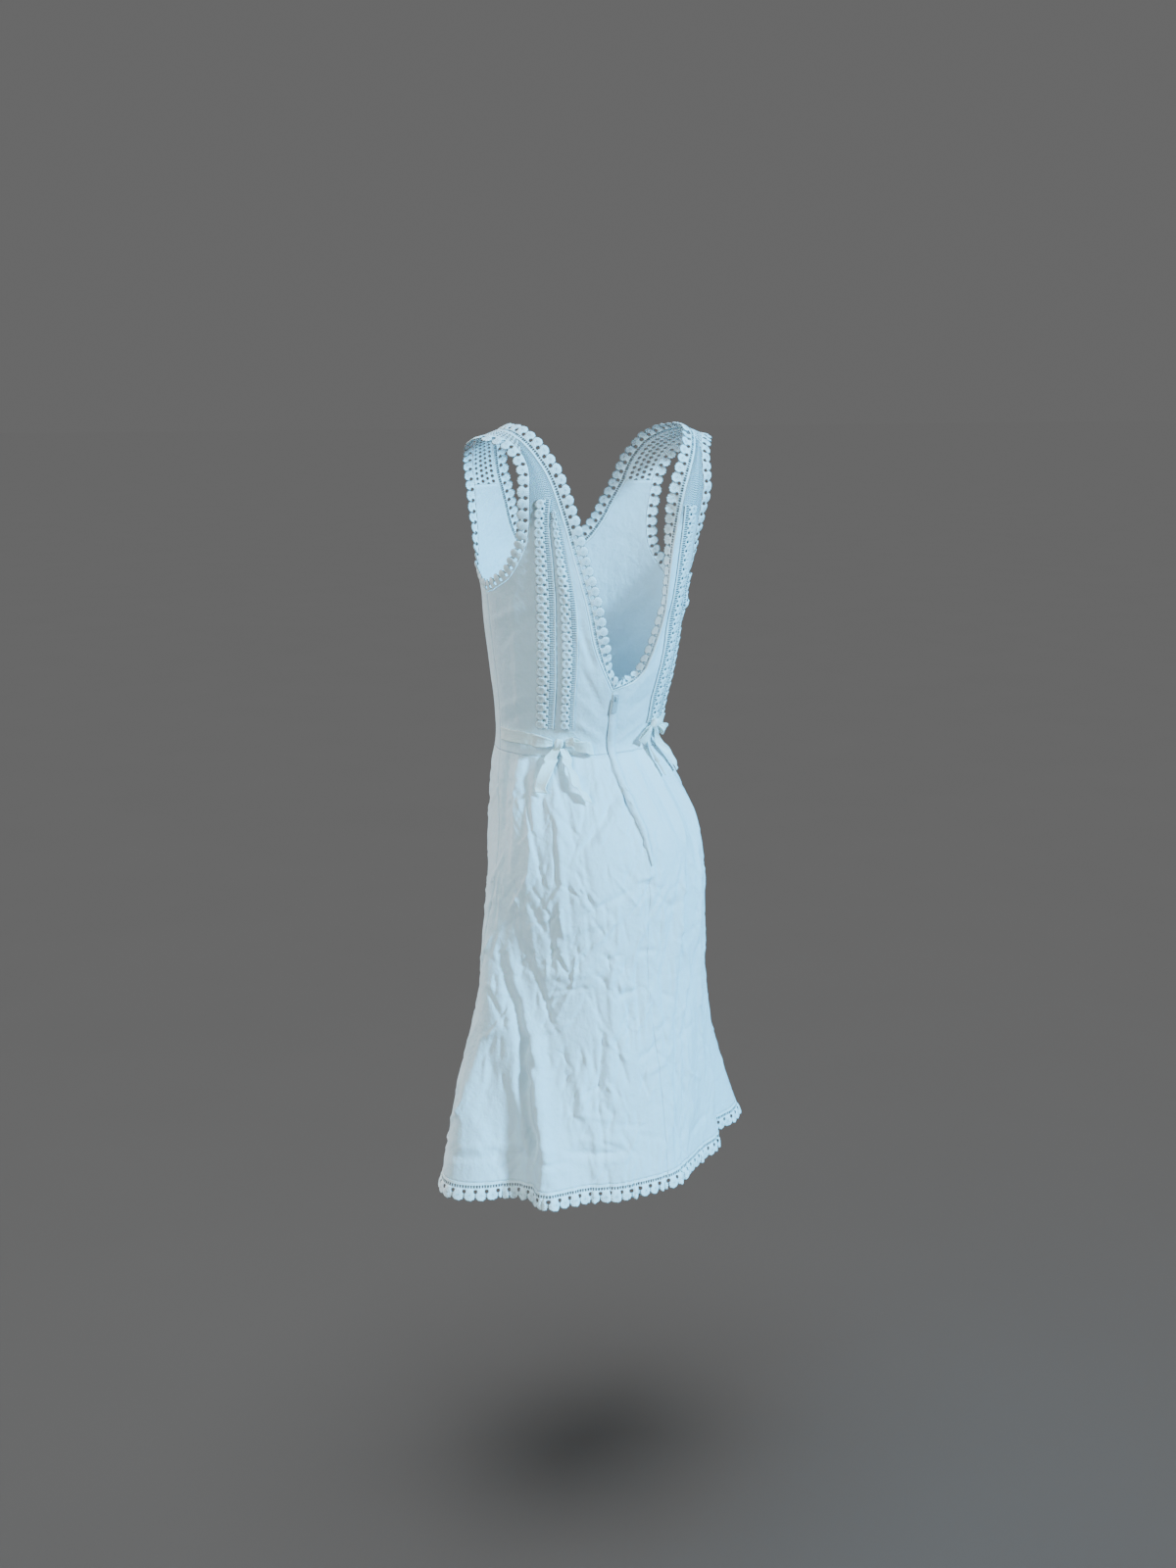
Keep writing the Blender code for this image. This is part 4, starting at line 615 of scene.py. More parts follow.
# How near the ends of two edges meet, how far apart the points of a trimmed edge stay, and the least
# sine that an edging's heading reckons with.
MEETING = 0.002
POINT_GAP = 1e-4
LEAST_SINE = 0.5

# Crochet: the height and number of the picots round a disc, how softly the thread rounds off at a rim,
# the height of a disc, how far it laps over the next, the radius of its dip, the height, number and
# start of the stitches that fan out on it, and the flutter of an edging and its waves in one repeat.
PICOT = 0.00030
PICOTS = 11
ROUNDING = 0.00045
DISC_HEIGHT = 0.0014
DISC_LAP = 0.0013
DIP_RADIUS = 0.36
FAN_HEIGHT = 0.00016
FAN_STITCHES = 13
FAN_START = 0.3
FLUTTER = 0.0006
FLUTTER_WAVES = 0.37
# What the thread's finish reads as raised, from which it paints shade: darker near every rim and in
# the cleft between two discs, lighter on the tops. How fast it grows from a rim, the shares of that
# and of the height in it, and the width of a cleft between two discs and how much it takes off.
RIM_SHADE = 0.00050
RIM_SHARE = 0.80
HEIGHT_SHARE = 0.20
CLEFT = 0.0009
CLEFT_SHADE = 0.58
# How the grid is cut: the least cells along a repeat and across a piece, the passes that slide its rim,
# how far one pass may go in cells, the least slope it reckons with, and the steps that find the
# pattern's slope and the cloth's normal.
CELLS_ALONG = 4
CELLS_ACROSS = 3
RIM_PASSES = 3
RIM_SLIDE = 0.45
LEAST_SLOPE = 0.25
SLOPE_STEP = 5e-5
NORMAL_STEP = 4e-4

# A strip: its width, the middle and the half sizes of its ladder's slots, the middle and radius of its
# rings and the depth of the dip in them, and the distance from their middle and the radius of the
# eyelets and of the pinholes.
STRIP_WIDTH = 0.0235
STRIP_LADDER = 0.0048
LADDER_HALF_WIDTH = 0.00050
LADDER_HALF_LENGTH = 0.0025
STRIP_BRAID = 0.0166
STRIP_RING = 0.0069
STRIP_DIP = 1.1
STRIP_EYELET = (0.0050, 0.0014)
STRIP_PINHOLE = (0.0077, 0.0009)

# The strap: its length over the shoulder, its width at the top, the pitch of its openings, and the
# middle and radius of each row of them across it.
STRAP_LENGTH = 0.190
STRAP_WIDTH = 0.0300
STRAP_PITCH = 0.0076
STRAP_ROWS = ((0.0045, 0.0019), (0.0115, 0.0017), (0.0185, 0.0019), (0.0255, 0.0016))

# The cotton's finish: the pitch of its weave and, in millimetres, the heights of the weave, of the
# slubs, of two sizes of crinkle and of two sizes of swell, each with the scale of its noise. Then the
# scale of its tone, the shares of noise, slubs and weave in it, and its dark and light shade.
WEAVE_PITCH = 0.00062
WEAVE_HEIGHT = 0.03
SLUB_SCALE = 420.0
SLUB_LONG = 0.12
SLUB_HEIGHT = 0.08
CRINKLE_LINES = ((62.0, 0.6, 1.25), (150.0, 1.0, 0.45))
CLOTH_SWELLS = ((34.0, 2.0, 1.9), (14.0, 1.0, 3.6))
TONE_SCALE = 9.0
TONE_SHARES = (0.5, 0.35, 0.15)
TONE_ENDS = (0.25, 0.75)
COTTON_SHADES = (0.93, 1.03)
# Flat lace near the shoulders: between which heights it fades in, its waves, rows and beads, how far
# the rows sway, the share of the beads in its height, its height in millimetres, and its openings,
# which are painted darker as shade.
LACE_TOP = (-0.130, -0.098)
LACE_WAVE = 0.0062
LACE_ROW = 0.0028
LACE_BEAD = 0.0021
LACE_SWAY = 0.9
LACE_BEAD_SHARE = 0.6
LACE_HEIGHT = 1.6
LACE_BETWEEN_BEADS = 1.3
LACE_OPEN = (0.35, 0.95)
LACE_OPEN_SHADE = 0.45
# The thread's finish on crochet: the pitch of its rows and stitches on each kind of piece, how far the
# stitches of a row bend and how high they stand, the lines and rings of the fan round a disc and how
# far out it reaches as shares of the pitch, the fibre, and the shares of stitches, fibre and the
# raised number in its tone; the stitches and the raised number paint shade there, lighter where the
# thread stands out and darker between threads, along rims and in clefts. Then where the raised number
# is full, the ends of the tone's step, and its painted dark and light shade.
CROCHET_STITCHES = {"edging": (0.0030, 0.0021), "strip": (0.0028, 0.0019), "strap": (0.0035, 0.0019)}
ROW_BEND = 0.9
LOOP_SHARES = (0.5, 0.35)
FAN_LINES = 15.0
FAN_RING = 0.0021
FAN_SHARES = (0.6, 0.4)
FAN_ENDS = (0.44, 0.56)
FIBRE_SCALE = 900.0
CROCHET_HEIGHTS = (0.5, 0.35)
CROCHET_TONE_AND_SHADE = (0.24, 0.08, 0.80)
RAISED_FULL = 0.80
CROCHET_ENDS = (0.05, 0.95)
CROCHET_SHADES = (0.26, 1.10)
# The finishes of the sewing thread, of the zip's enamel and of the floor.
TWIST_PITCH = 0.0005
TWIST_SHADES = (0.86, 1.0)
WEAR_SCALE = 260.0
WEAR_ENDS = (0.35, 0.7)
WEAR_ROUGHNESS = (0.26, 0.2)
ENAMEL_SHADES = (0.82, 1.0)
MOTTLE_SCALE = 3.0
FLOOR_SHADES = (0.96, 1.0)

# Sewing stitches: how far they run inside an edge and above the cloth, the least step between points
# there, the part of the pitch that one shows, and its half width and depth as shares of the thread.
STITCH_INSET = 0.0018
STITCH_LIFT = 0.00012
LEAST_STEP = 1e-9
STITCH_SHOWS = (0.14, 0.86)
STITCH_WIDTH = 0.75
STITCH_DEPTH = 0.4

# The camera: its distance, its height, the way to it, how far it stands aside, its pitch down, and
# the focal length and long side of the photograph in pixels.
CAMERA_AWAY = 2.15
CAMERA_HEIGHT = 0.040
CAMERA_WAY = (0.454, 0.891)
CAMERA_ASIDE = 0.0103
CAMERA_PITCH = 12.94
FOCAL_PIXELS = 1750.0
LONG_SIDE_PIXELS = 1600.0
SENSOR = 36.0
# The studio: the floor, and where each light shines from, as seen from the camera: right, nearer, up.
FLOOR_HEIGHT = -1.40
FLOOR_HALF = 60.0
LIGHT_TARGET = (0.0, 0.0, -0.45)
KEY_FROM = (2.15, 1.35, 0.9)
FILL_FROM = (-1.2, 2.2, 0.4)
BACK_FROM = (-1.5, -1.3, 0.7)
FLOOR_LIGHT_FROM = (0.0, 0.0, 3.0)
KEY_SPREAD = 9.0
FILL_SPREAD = 40.0
WHITE = (1.0, 1.0, 1.0)

# The least area of a cut as a share of the box round it, and the least side of that box.
LEAST_AREA = 0.3
LEAST_SIDE = 0.0105

# What is worked out once and then kept.
PANELS = {}
REACH = {}


def smooth(x, xs, ys):
    """Value at x of a smooth curve through the points xs, ys: a cubic between each two of them."""
    xs = np.asarray(xs, float)
    ys = np.asarray(ys, float)
    x = np.asarray(x, float)
    slopes = np.gradient(ys, xs)
    i = np.clip(np.searchsorted(xs, x) - 1, 0, len(xs) - 2)
    step = xs[i + 1] - xs[i]
    t = np.clip((x - xs[i]) / step, 0.0, 1.0)
    start = (2 * t**3 - 3 * t**2 + 1) * ys[i] + (t**3 - 2 * t**2 + t) * step * slopes[i]
    return start + (3 * t**2 - 2 * t**3) * ys[i + 1] + (t**3 - t**2) * step * slopes[i + 1]


def table_value(rows, columns, key, name, x):
    """The column called name of a table, read smoothly at x along the column called key."""
    keys = [row[columns.index(key)] for row in rows]
    values = [row[columns.index(name)] for row in rows]
    return smooth(x, keys, values)


def ease(t):
    """0 below 0, 1 above 1, and a soft step between."""
    t = np.clip(t, 0.0, 1.0)
    return t * t * (3 - 2 * t)


def form(name, height):
    """One of the form's measures at a height."""
    return table_value(FORM, FORM_COLUMNS, "height", name, height)


def fold_reach(height, turn):
    """How far the folds stand out at a height and a turn in degrees: a bell for each fold."""
    total = np.zeros(np.broadcast(height, turn).shape)
    for turn_start, turn_hem, half_turn, depth, start, full, end in FOLDS:
        grown = np.clip((start - height) / (start - full), 0.0, 1.0)
        left = 1 - ease((full - height) / (full - end))
        above = 1 - np.clip((start - height) / (start - HEM), 0.0, 1.0)
        middle = turn_hem + (turn_start - turn_hem) * above**FOLD_DRIFT
        away = (turn - middle + 180) % 360 - 180
        total = total + depth * grown**FOLD_GROWTH * left * np.exp(-((away / half_turn) ** 2))
    return total


def crinkles():
    """Fine short creases of a washed cloth, laid by chance in the columns of CREASES: most run down the
    skirt and a little aslant, and they are deepest on the left of the back."""
    chance = np.random.default_rng(CRINKLE_SEED)
    rows = []
    for top, bottom, number, depth in CRINKLE_ZONES:
        turns = chance.uniform(-180.0, 180.0, number)
        heights = chance.uniform(bottom, top, number)
        lengths = chance.uniform(*CRINKLE_LENGTH, number)
        slants = np.radians(chance.normal(0.0, CRINKLE_SLANT, number))
        widths = chance.uniform(*CRINKLE_WIDTH, number)
        depths = chance.uniform(*CRINKLE_SHARE, number) * depth
        depths = depths * chance.choice((-1.0, 1.0), number, p=CRINKLE_KINDS)
        for turn, height, length, slant, width, deep in zip(
            turns, heights, lengths, slants, widths, depths
        ):
            run = math.degrees(length * math.sin(slant) / float(form("half_width", height)))
            drop = length * abs(math.cos(slant))
            local = CRINKLE_MEAN + CRINKLE_SWING * math.cos(math.radians(turn - CRINKLE_DEEPEST))
            rows.append((turn, height, turn + run, height - drop, width, deep * local, CRINKLE_LEAN))
    return rows


def crease_relief(height, turn):
    """How far the creases stand out at a height and a turn: across each, a bell that is wider on one
    side, and along it a fade at both ends. Distances are on the cloth laid flat round the axis, and
    each crease is worked out only near itself."""
    height, turn = np.broadcast_arrays(height, turn)
    total = np.zeros(height.shape)
    for turn_start, height_start, turn_end, height_end, half_width, depth, lean in (*CREASES, *crinkles()):
        radius = float(form("half_width", (height_start + height_end) / 2))
        run = (turn_end - turn_start + 180) % 360 - 180
        end_x, end_y = math.radians(run) * radius, height_end - height_start
        length = math.hypot(end_x, end_y)
        reach = CREASE_LENGTH_REACH * length + CREASE_WIDTH_REACH * half_width
        low, high = min(height_start, height_end) - reach, max(height_start, height_end) + reach
        wide = abs(run) / 2 + math.degrees(reach / radius)
        away = (turn - turn_start - run / 2 + 180) % 360 - 180
        near = (height > low) & (height < high) & (np.abs(away) < wide)
        x = np.radians(away[near] + run / 2) * radius
        y = height[near] - height_start
        along = (x * end_x + y * end_y) / length**2
        aside = (x * end_y - y * end_x) / length
        past = length * (along - np.clip(along, CREASE_FADE, 1 - CREASE_FADE))
        side_width = half_width * (1 + lean * np.sign(aside))
        fade = np.exp(-((past / (CREASE_FADE * length + half_width)) ** 2))
        total[near] += CREASE_GAIN * depth * np.exp(-((aside / side_width) ** 2)) * fade
    return total


def exact_reach(height, turn):
    """How far the outer face of the cloth lies from the axis:
    ((|sin| / half width)^n + (|cos| / depth)^n)^(-1/n), plus the folds and the creases."""
    angle = np.radians(turn)
    sine, cosine = np.sin(angle), np.cos(angle)
    side_y = form("side_y", height)
    depth = np.where(cosine > 0, form("back_y", height) - side_y, side_y - form("front_y", height))
    n = form("square", height)
    reach = ((np.abs(sine) / form("half_width", height)) ** n + (np.abs(cosine) / depth) ** n) ** (-1 / n)
    return reach + fold_reach(height, turn) + crease_relief(height, turn)


def reach_grid():
    """The exact reach on a fine grid of heights and turns, worked out once."""
    if not REACH:
        heights = np.arange(HEM - GRID_MARGIN, CHEST + GRID_MARGIN, GRID_HEIGHT)
        turns = np.arange(-180.0, 180.0 + GRID_TURN, GRID_TURN)
        REACH["height"], REACH["turn"] = heights, turns
        REACH["reach"] = exact_reach(*np.broadcast_arrays(heights[:, None], turns[None]))
    return REACH


def surface(height, turn):
    """The outer face of the cloth at a height and a turn: its reach is read between the four nearest
    points of the fine grid."""
    height, turn = np.broadcast_arrays(np.asarray(height, float), np.asarray(turn, float))
    grid = reach_grid()
    row = np.clip((height - grid["height"][0]) / GRID_HEIGHT, 0.0, len(grid["height"]) - LAST_CELL)
    column = np.clip(((turn + 180.0) % 360.0) / GRID_TURN, 0.0, len(grid["turn"]) - LAST_CELL)
    r, c = row.astype(int), column.astype(int)
    fr, fc = row - r, column - c
    low = grid["reach"][r, c] * (1 - fc) + grid["reach"][r, c + 1] * fc
    high = grid["reach"][r + 1, c] * (1 - fc) + grid["reach"][r + 1, c + 1] * fc
    reach = low * (1 - fr) + high * fr
    angle = np.radians(turn)
    y = form("side_y", height) + reach * np.cos(angle)
    return np.stack([reach * np.sin(angle), y, height], axis=-1)


def directions(height, turn):
    """The unit vectors round, up and out of the form at a height and a turn."""
    around = unit(surface(height, turn + NEAR_TURN) - surface(height, turn - NEAR_TURN))
    upward = unit(surface(height + NEAR_HEIGHT, turn) - surface(height - NEAR_HEIGHT, turn))
    out = unit(np.cross(upward, around))
    return around, unit(np.cross(around, out)), out


def over_shoulder(over, chest):
    """A point of the chest line carried over the shoulder: a quarter of an ellipse up to the ridge
    of the strap at 90 degrees, and another down its front."""
    over = np.radians(np.asarray(over, float))
    ridge = -RIDGE_FALL * np.maximum(np.abs(chest[..., 0]) - NECK_AT_RIDGE, 0.0)
    y = chest[..., 1] * np.abs(np.cos(over))
    z = CHEST + (ridge - CHEST) * np.sin(over)
    return np.stack([chest[..., 0], y, z], axis=-1)


def turns_at_x(height, x, front, step):
    """The turns, on the back half or the front half, where the form has these X."""
    half = (180.0 if front else 0.0) + np.arange(*HALF_TURN, step)
    xs = surface(height, half)[:, 0]
    order = np.argsort(xs)
    return np.interp(x, xs[order], half[order])


def turn_at_x(height, x, front=False):
    """The turn, on the back half or the front half, where the form has this X."""
    return float(turns_at_x(height, x, front, TURN_STEP))


def side_gap(height):
    """Half of a side seam's gap at the outer faces, in degrees of turn."""
    return float(np.degrees(SIDE_SEAM / 2 / form("half_width", height)))


def lap_x(height):
    """The X of the centre back line at a height."""
    return float(table_value(LAP_EDGE, LAP_COLUMNS, "height", "x", height))


def unit(vectors):
    """The vectors at length 1."""
    return vectors / np.linalg.norm(vectors, axis=-1, keepdims=True)


def inner_point(points):
    """The point inside the garment that each of these points faces away from."""
    height = points[..., 2]
    return np.stack([0 * height, INNER_Y + 0 * height, np.minimum(height, INNER_TOP)], axis=-1)


def sheet_normals(sheet):
    """The outward normal at each point of a sheet: the form's own up to the chest line, and above it
    from the point's neighbours along and across."""
    down = np.gradient(sheet, axis=0)
    along = np.gradient(sheet, axis=1)
    normals = unit(np.cross(along, down))
    height = sheet[..., 2]
    outward = np.sign(np.sum(normals * (sheet - inner_point(sheet))))
    turn = np.degrees(np.arctan2(sheet[..., 0], sheet[..., 1] - form("side_y", height)))
    of_form = directions(np.minimum(height, CHEST), turn)[2]
    return np.where(height[..., None] <= CHEST + SEAM, of_form, normals * outward)


def along_line(length, lengths, values):
    """Vectors known at some lengths along a line, read between them at others."""
    return np.stack([np.interp(length, lengths, values[:, k]) for k in range(3)], axis=-1)


class Edge:
    """One edge of a sheet: its points, the outward normal there, and the way on past the edge."""

    def __init__(self, points, normals, onward):
        self.points = points
        self.normals = normals
        self.onward = onward
        steps = np.linalg.norm(np.diff(points, axis=0), axis=1)
        self.length = np.concatenate([[0.0], np.cumsum(steps)])

    def at(self, length):
        """Points, normals and onward ways at lengths along the edge."""
        points, normals, onward = (
            along_line(length, self.length, values) for values in (self.points, self.normals, self.onward)
        )
        return points, unit(normals), unit(onward)

    def reversed(self):
        """The edge run through from its other end."""
        return Edge(self.points[::-1], self.normals[::-1], self.onward[::-1])

    def joined(self, other):
        """This edge and the next one on, whose first point is left out where it meets this one."""
        skip = 1 if np.linalg.norm(self.points[-1] - other.points[0]) < MEETING else 0
        return Edge(
            np.concatenate([self.points, other.points[skip:]]),
            np.concatenate([self.normals, other.normals[skip:]]),
            np.concatenate([self.onward, other.onward[skip:]]),
        )

    def trimmed(self, at_start, at_end):
        """The edge without a length at its start and another at its end."""
        last = self.length[-1] - at_end
        inside = (self.length > at_start + POINT_GAP) & (self.length < last - POINT_GAP)
        length = np.concatenate([[at_start], self.length[inside], [last]])
        return Edge(*self.at(length))


def edge_of(sheet, side, first=0, last=None):
    """An edge of a sheet: "start" or "end" of its rows, or its "top" or "bottom" row."""
    normals = sheet_normals(sheet)
    pick = {
        "start": (sheet[:, 0], sheet[:, 1], normals[:, 0]),
        "end": (sheet[:, -1], sheet[:, -2], normals[:, -1]),
        "bottom": (sheet[0], sheet[1], normals[0]),
        "top": (sheet[-1], sheet[-2], normals[-1]),
    }
    points, inner, normal = (values[first:last] for values in pick[side])
    tangent = unit(np.gradient(points, axis=0))
    onward = unit(np.cross(tangent, normal))
    onward = onward * np.sign(np.sum(onward * (points - inner)))
    return Edge(points, normal, onward)


def match(first, first_end, second, second_end):
    """Gives two edges one shared onward way and normal where they meet. An end is 0 or -1."""
    for name in ("onward", "normals"):
        one, other = getattr(first, name), getattr(second, name)
        shared = unit(one[first_end] + other[second_end])
        one[first_end] = shared
        other[second_end] = shared


def across_strap(over, share):
    """The distance from the middle of the garment, at a share of the strap's width from the neck."""
    neck = table_value(STRAP_EDGES, STRAP_COLUMNS, "over", "neck", over)
    arm = table_value(STRAP_EDGES, STRAP_COLUMNS, "over", "arm", over)
    return neck + (arm - neck) * share


def heading_gap(gap, angle):
    """How far past an edge the outer face of an edging starts, so that its wall, turned inwards by an
    angle, stays the gap clear of the panel's wall."""
    square = gap + LACE * np.sin(angle)
    under = (gap + LACE * (1 - np.cos(angle))) / np.maximum(np.sin(angle), LEAST_SINE)
    return np.where(angle > np.pi / 2, under, square)


class Piece:
    """One piece of the dress: its mesh, map, wall, finish and place in the frame."""

    def __init__(self, name, points, faces, finish, uv, slot):
        mesh = bpy.data.meshes.new(name)
        mesh.from_pydata(np.asarray(points, float), [], faces)
        mesh.materials.append(finish)
        layer = mesh.uv_layers.new(name="cloth")
        corners = np.empty(len(mesh.loops), dtype=np.int32)
        mesh.loops.foreach_get("vertex_index", corners)
        layer.data.foreach_set("uv", np.asarray(uv, np.float32)[corners].ravel())
        mesh.shade_smooth()
        self.object = bpy.data.objects.new(name, mesh)
        bpy.context.scene.collection.objects.link(self.object)
        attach(self.object, BODY)

    def attribute(self, name, values):
        """Gives each point of the mesh a number that its finish can read."""
        layer = self.object.data.attributes.new(name, "FLOAT", "POINT")
        layer.data.foreach_set("value", np.asarray(values, np.float32))

    def wall(self, thickness, offset=-1.0):
        """A wall inwards, or on both sides with an offset of 0."""
        solid = self.object.modifiers.new("Wall", "SOLIDIFY")
        solid.thickness = thickness
        solid.offset = offset
        return self

    def outwards(self):
        """Turns an open sheet's faces away from the axis of the garment."""
        mesh = self.object.data
        count = len(mesh.polygons)
        centres, normals, areas = np.empty(3 * count), np.empty(3 * count), np.empty(count)
        mesh.polygons.foreach_get("center", centres)
        mesh.polygons.foreach_get("normal", normals)
        mesh.polygons.foreach_get("area", areas)
        centres, normals = centres.reshape(-1, 3), normals.reshape(-1, 3)
        if np.sum(np.sum(normals * (centres - inner_point(centres)), axis=1) * areas) < 0:
            mesh.flip_normals()
        return self

    def replaces(self, *nodes):
        """Shows the piece in place of these solids."""
        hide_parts(*nodes)
        return self

    def sheet(self, flat, area, held):
        width, length = flat
        area = min(max(area, LEAST_AREA * width * length), width * length)
        return self


def grid_faces(rows, columns):
    """The four corners of every face of a grid whose points run row by row."""
    corner = (np.arange(rows - 1)[:, None] * columns + np.arange(columns - 1)[None]).ravel()
    return np.stack([corner, corner + 1, corner + 1 + columns, corner + columns], axis=-1)


def steps_along(grid, axis):
    """The distance from the start of each line of a grid to each of its points."""
    step = np.linalg.norm(np.diff(grid, axis=axis), axis=-1)
    start = np.zeros_like(np.take(step, [0], axis=axis))
    return np.concatenate([start, np.cumsum(step, axis=axis)], axis=axis)


def grid_area(grid):
    """The area of a grid: half the cross product of the diagonals of each face, summed."""
    one = grid[1:, 1:] - grid[:-1, :-1]
    other = grid[1:, :-1] - grid[:-1, 1:]
    return float(np.linalg.norm(np.cross(one, other), axis=-1).sum() / 2)


def cloth_piece(name, grid, finish, wall, held, node, offset=-1.0):
    """A sheet of cloth through a grid of points. Its map is in metres, along the rows and up them,
    measured on the cloth from the middle of each row and the start of each column."""
    rows, columns = grid.shape[:2]
    along, up = steps_along(grid, 1), steps_along(grid, 0)
    middle = along[:, columns // 2][:, None]
    uv = np.stack([along - middle, up], axis=-1).reshape(-1, 2)
    piece = Piece(name, grid.reshape(-1, 3), grid_faces(rows, columns), finish, uv, "cotton")
    if offset:
        piece.outwards()
    piece.wall(wall, offset).replaces(node)
    flat = (max(float(along.max()), LEAST_SIDE), max(float(up.max()), LEAST_SIDE))
    return piece.sheet(flat, grid_area(grid), held)


def even_row(height, first, last, count):
    """count + 1 points at one height between two turns, at even steps along the cloth."""
    turns = np.linspace(first, last, EVEN_FINENESS * count)
    length = steps_along(surface(height, turns)[None], 1)[0]
    return surface(height, np.interp(np.linspace(0.0, length[-1], count + 1), length, turns))


def strap_points(side, over, x):
    """Points at angles over the shoulder and distances x from the middle of the garment."""
    front, back = (turns_at_x(CHEST, side * x, half, CHEST_STEP) for half in (True, False))
    turns = np.where(over > 90.0, front, back)
    return over_shoulder(over, surface(CHEST, turns))


def inner_x(side, height):
    """The X of a back panel's inner edge: the zip line, and above it that side's edge of the V."""
    if height <= V_LOW:
        return lap_x(height) + side * SEAM / 2
    edge = "v_left" if side > 0 else "v_right"
    return float(table_value(BACK_EDGES, BACK_COLUMNS, "height", edge, height))


def back_heights():
    """The heights of a back panel's rows, up to the chest."""
    ends = (WAIST, V_LOW, V_SPREAD, UNDERARM, CHEST)
    parts = [np.linspace(low, high, rows)[1:] for low, high, rows in zip(ends, ends[1:], BACK_ROWS)]
    return np.concatenate([[WAIST], *parts])


def back_grid(side):
    """The back panel of one side, from the waist to the oblique shoulder seam. Each row is a level
    line of the form from the centre back or the V to the side seam or the armhole."""
    underarm_x = abs(float(surface(UNDERARM, side * (90.0 - side_gap(UNDERARM)))[0]))
    arm = [row for row in BACK_EDGES if row[BACK_COLUMNS.index("arm")] is not None]
    arm = [(UNDERARM, 0.0, 0.0, underarm_x), *arm]
    rows = []
    for height in back_heights():
        first = turn_at_x(height, inner_x(side, height))
        last = side * (90.0 - side_gap(height))
        if height > UNDERARM:
            arm_x = float(table_value(arm, BACK_COLUMNS, "height", "arm", height))
            last = turn_at_x(height, side * arm_x)
        rows.append(even_row(height, first, last, BACK_PANEL_COLUMNS))
    share = np.linspace(0.0, 1.0, BACK_PANEL_COLUMNS + 1)
    for part in np.linspace(0.0, 1.0, SHOULDER_ROWS + 1)[1:]:
        over = (SHOULDER_SEAM_NECK + (SHOULDER_SEAM_ARM - SHOULDER_SEAM_NECK) * share) * part
        rows.append(strap_points(side, over, across_strap(over, share)))
    return np.array(rows)


def strap_place(side, along, across):
    """Places on the crochet strap: along runs from 0 at the oblique shoulder seam to 1 at the front
    panel, and across from 0 at the neck to 1 at the armhole."""
    seam = SHOULDER_SEAM_NECK + (SHOULDER_SEAM_ARM - SHOULDER_SEAM_NECK) * across
    start = seam + math.degrees(-SEAM / CHEST)
    over = start + (180.0 - start) * along
    return strap_points(side, over, across_strap(over, across))


def front_grid():
    """The front panel from side seam to side seam. Its rows run evenly from the waist up to a top
    edge that is smooth along each armhole, strap end and the neckline."""
    tops = np.array([height for _, height in FRONT_TOP])
    turns = [
        90.0 + side_gap(height) if x is None else turn_at_x(height, x, front=True)
        for x, height in FRONT_TOP
    ]
    turns = np.concatenate([turns, 360.0 - np.array(turns[-2::-1])])
    tops = np.concatenate([tops, tops[-2::-1]])
    last = len(turns) - 1
    half = (0, STRAP_ARM_COLUMN, STRAP_NECK_COLUMN)
    corners = (*half, *(last - corner for corner in half[::-1]))
    fine_turns, fine_tops = [], []
    for start, end in zip(corners[:-1], corners[1:]):
        at = np.linspace(start, end, (end - start) * FRONT_FINENESS + 1)[(1 if start else 0) :]
        known = np.arange(start, end + 1)
        fine_turns.append(smooth(at, known, turns[start : end + 1]))
        fine_tops.append(smooth(at, known, tops[start : end + 1]))
    fine_turns, fine_tops = np.concatenate(fine_turns), np.concatenate(fine_tops)
    even = np.linspace(90.0 + side_gap(WAIST), 270.0 - side_gap(WAIST), len(fine_turns))
    part = np.linspace(0.0, 1.0, FRONT_PANEL_ROWS + 1)[:, None]
    return surface(WAIST + (fine_tops - WAIST) * part, even + (fine_turns - even) * part**FRONT_BEND)


def skirt_heights():
    """The heights of a skirt panel's rows, from the waist seam down."""
    above, below = SKIRT_ROWS
    seat = np.linspace(WAIST - SEAM, HIP, above)
    return np.concatenate([seat, np.linspace(HIP, SKIRT_BOTTOM, below + 1)[1:]])


def skirt_grid(name, first, last):
    """A skirt panel from the waist seam to the hem between two turns, each a side seam given as 90 or
    -90, or None for the centre back line."""
    rows = []
    for height in skirt_heights():
        gap = side_gap(height)
        if first is None:
            start = turn_at_x(height, lap_x(height) + math.copysign(SEAM / 2, last))
            end = last - math.copysign(gap, last)
        else:
            start, end = first + gap, last - gap
        rows.append(even_row(height, start, end, SKIRT_COLUMNS[name]))
    return np.array(rows)


def edging_sizes(kind):
    """The row of an edging's table, by the names of its columns."""
    return dict(zip(EDGING_COLUMNS, EDGINGS[kind]))


def ring(x, y, centre_y, radius):
    """The distance outside a round hole."""
    return np.hypot(x, y - centre_y) - radius


def oblong(x, y, centre_y, half_width, half_length):
    """The distance outside an upright hole with round ends."""
    beyond = np.maximum(np.abs(y - centre_y) - half_length + half_width, 0.0)
    return np.hypot(x, beyond) - half_width


def repeat(x, pitch, shift=0.0):
    """x measured from the nearest of the places that lie a pitch apart, the first one at shift."""
    return np.mod(x - shift + pitch / 2, pitch) - pitch / 2


def discs(x, y, middle, radius):
    """The distance inside a heading with a row of discs along its edge, each with small picots."""
    out, around = np.hypot(x, y - middle), np.arctan2(y - middle, x)
    return np.maximum(radius - PICOT + PICOT * np.cos(PICOTS * around) - out, middle - y)


def bars(x, step):
    """x measured from the nearest of the slots of a repeat."""
    return repeat(x, step / SLOTS_A_DISC, step / SLOTS_A_DISC / 2)


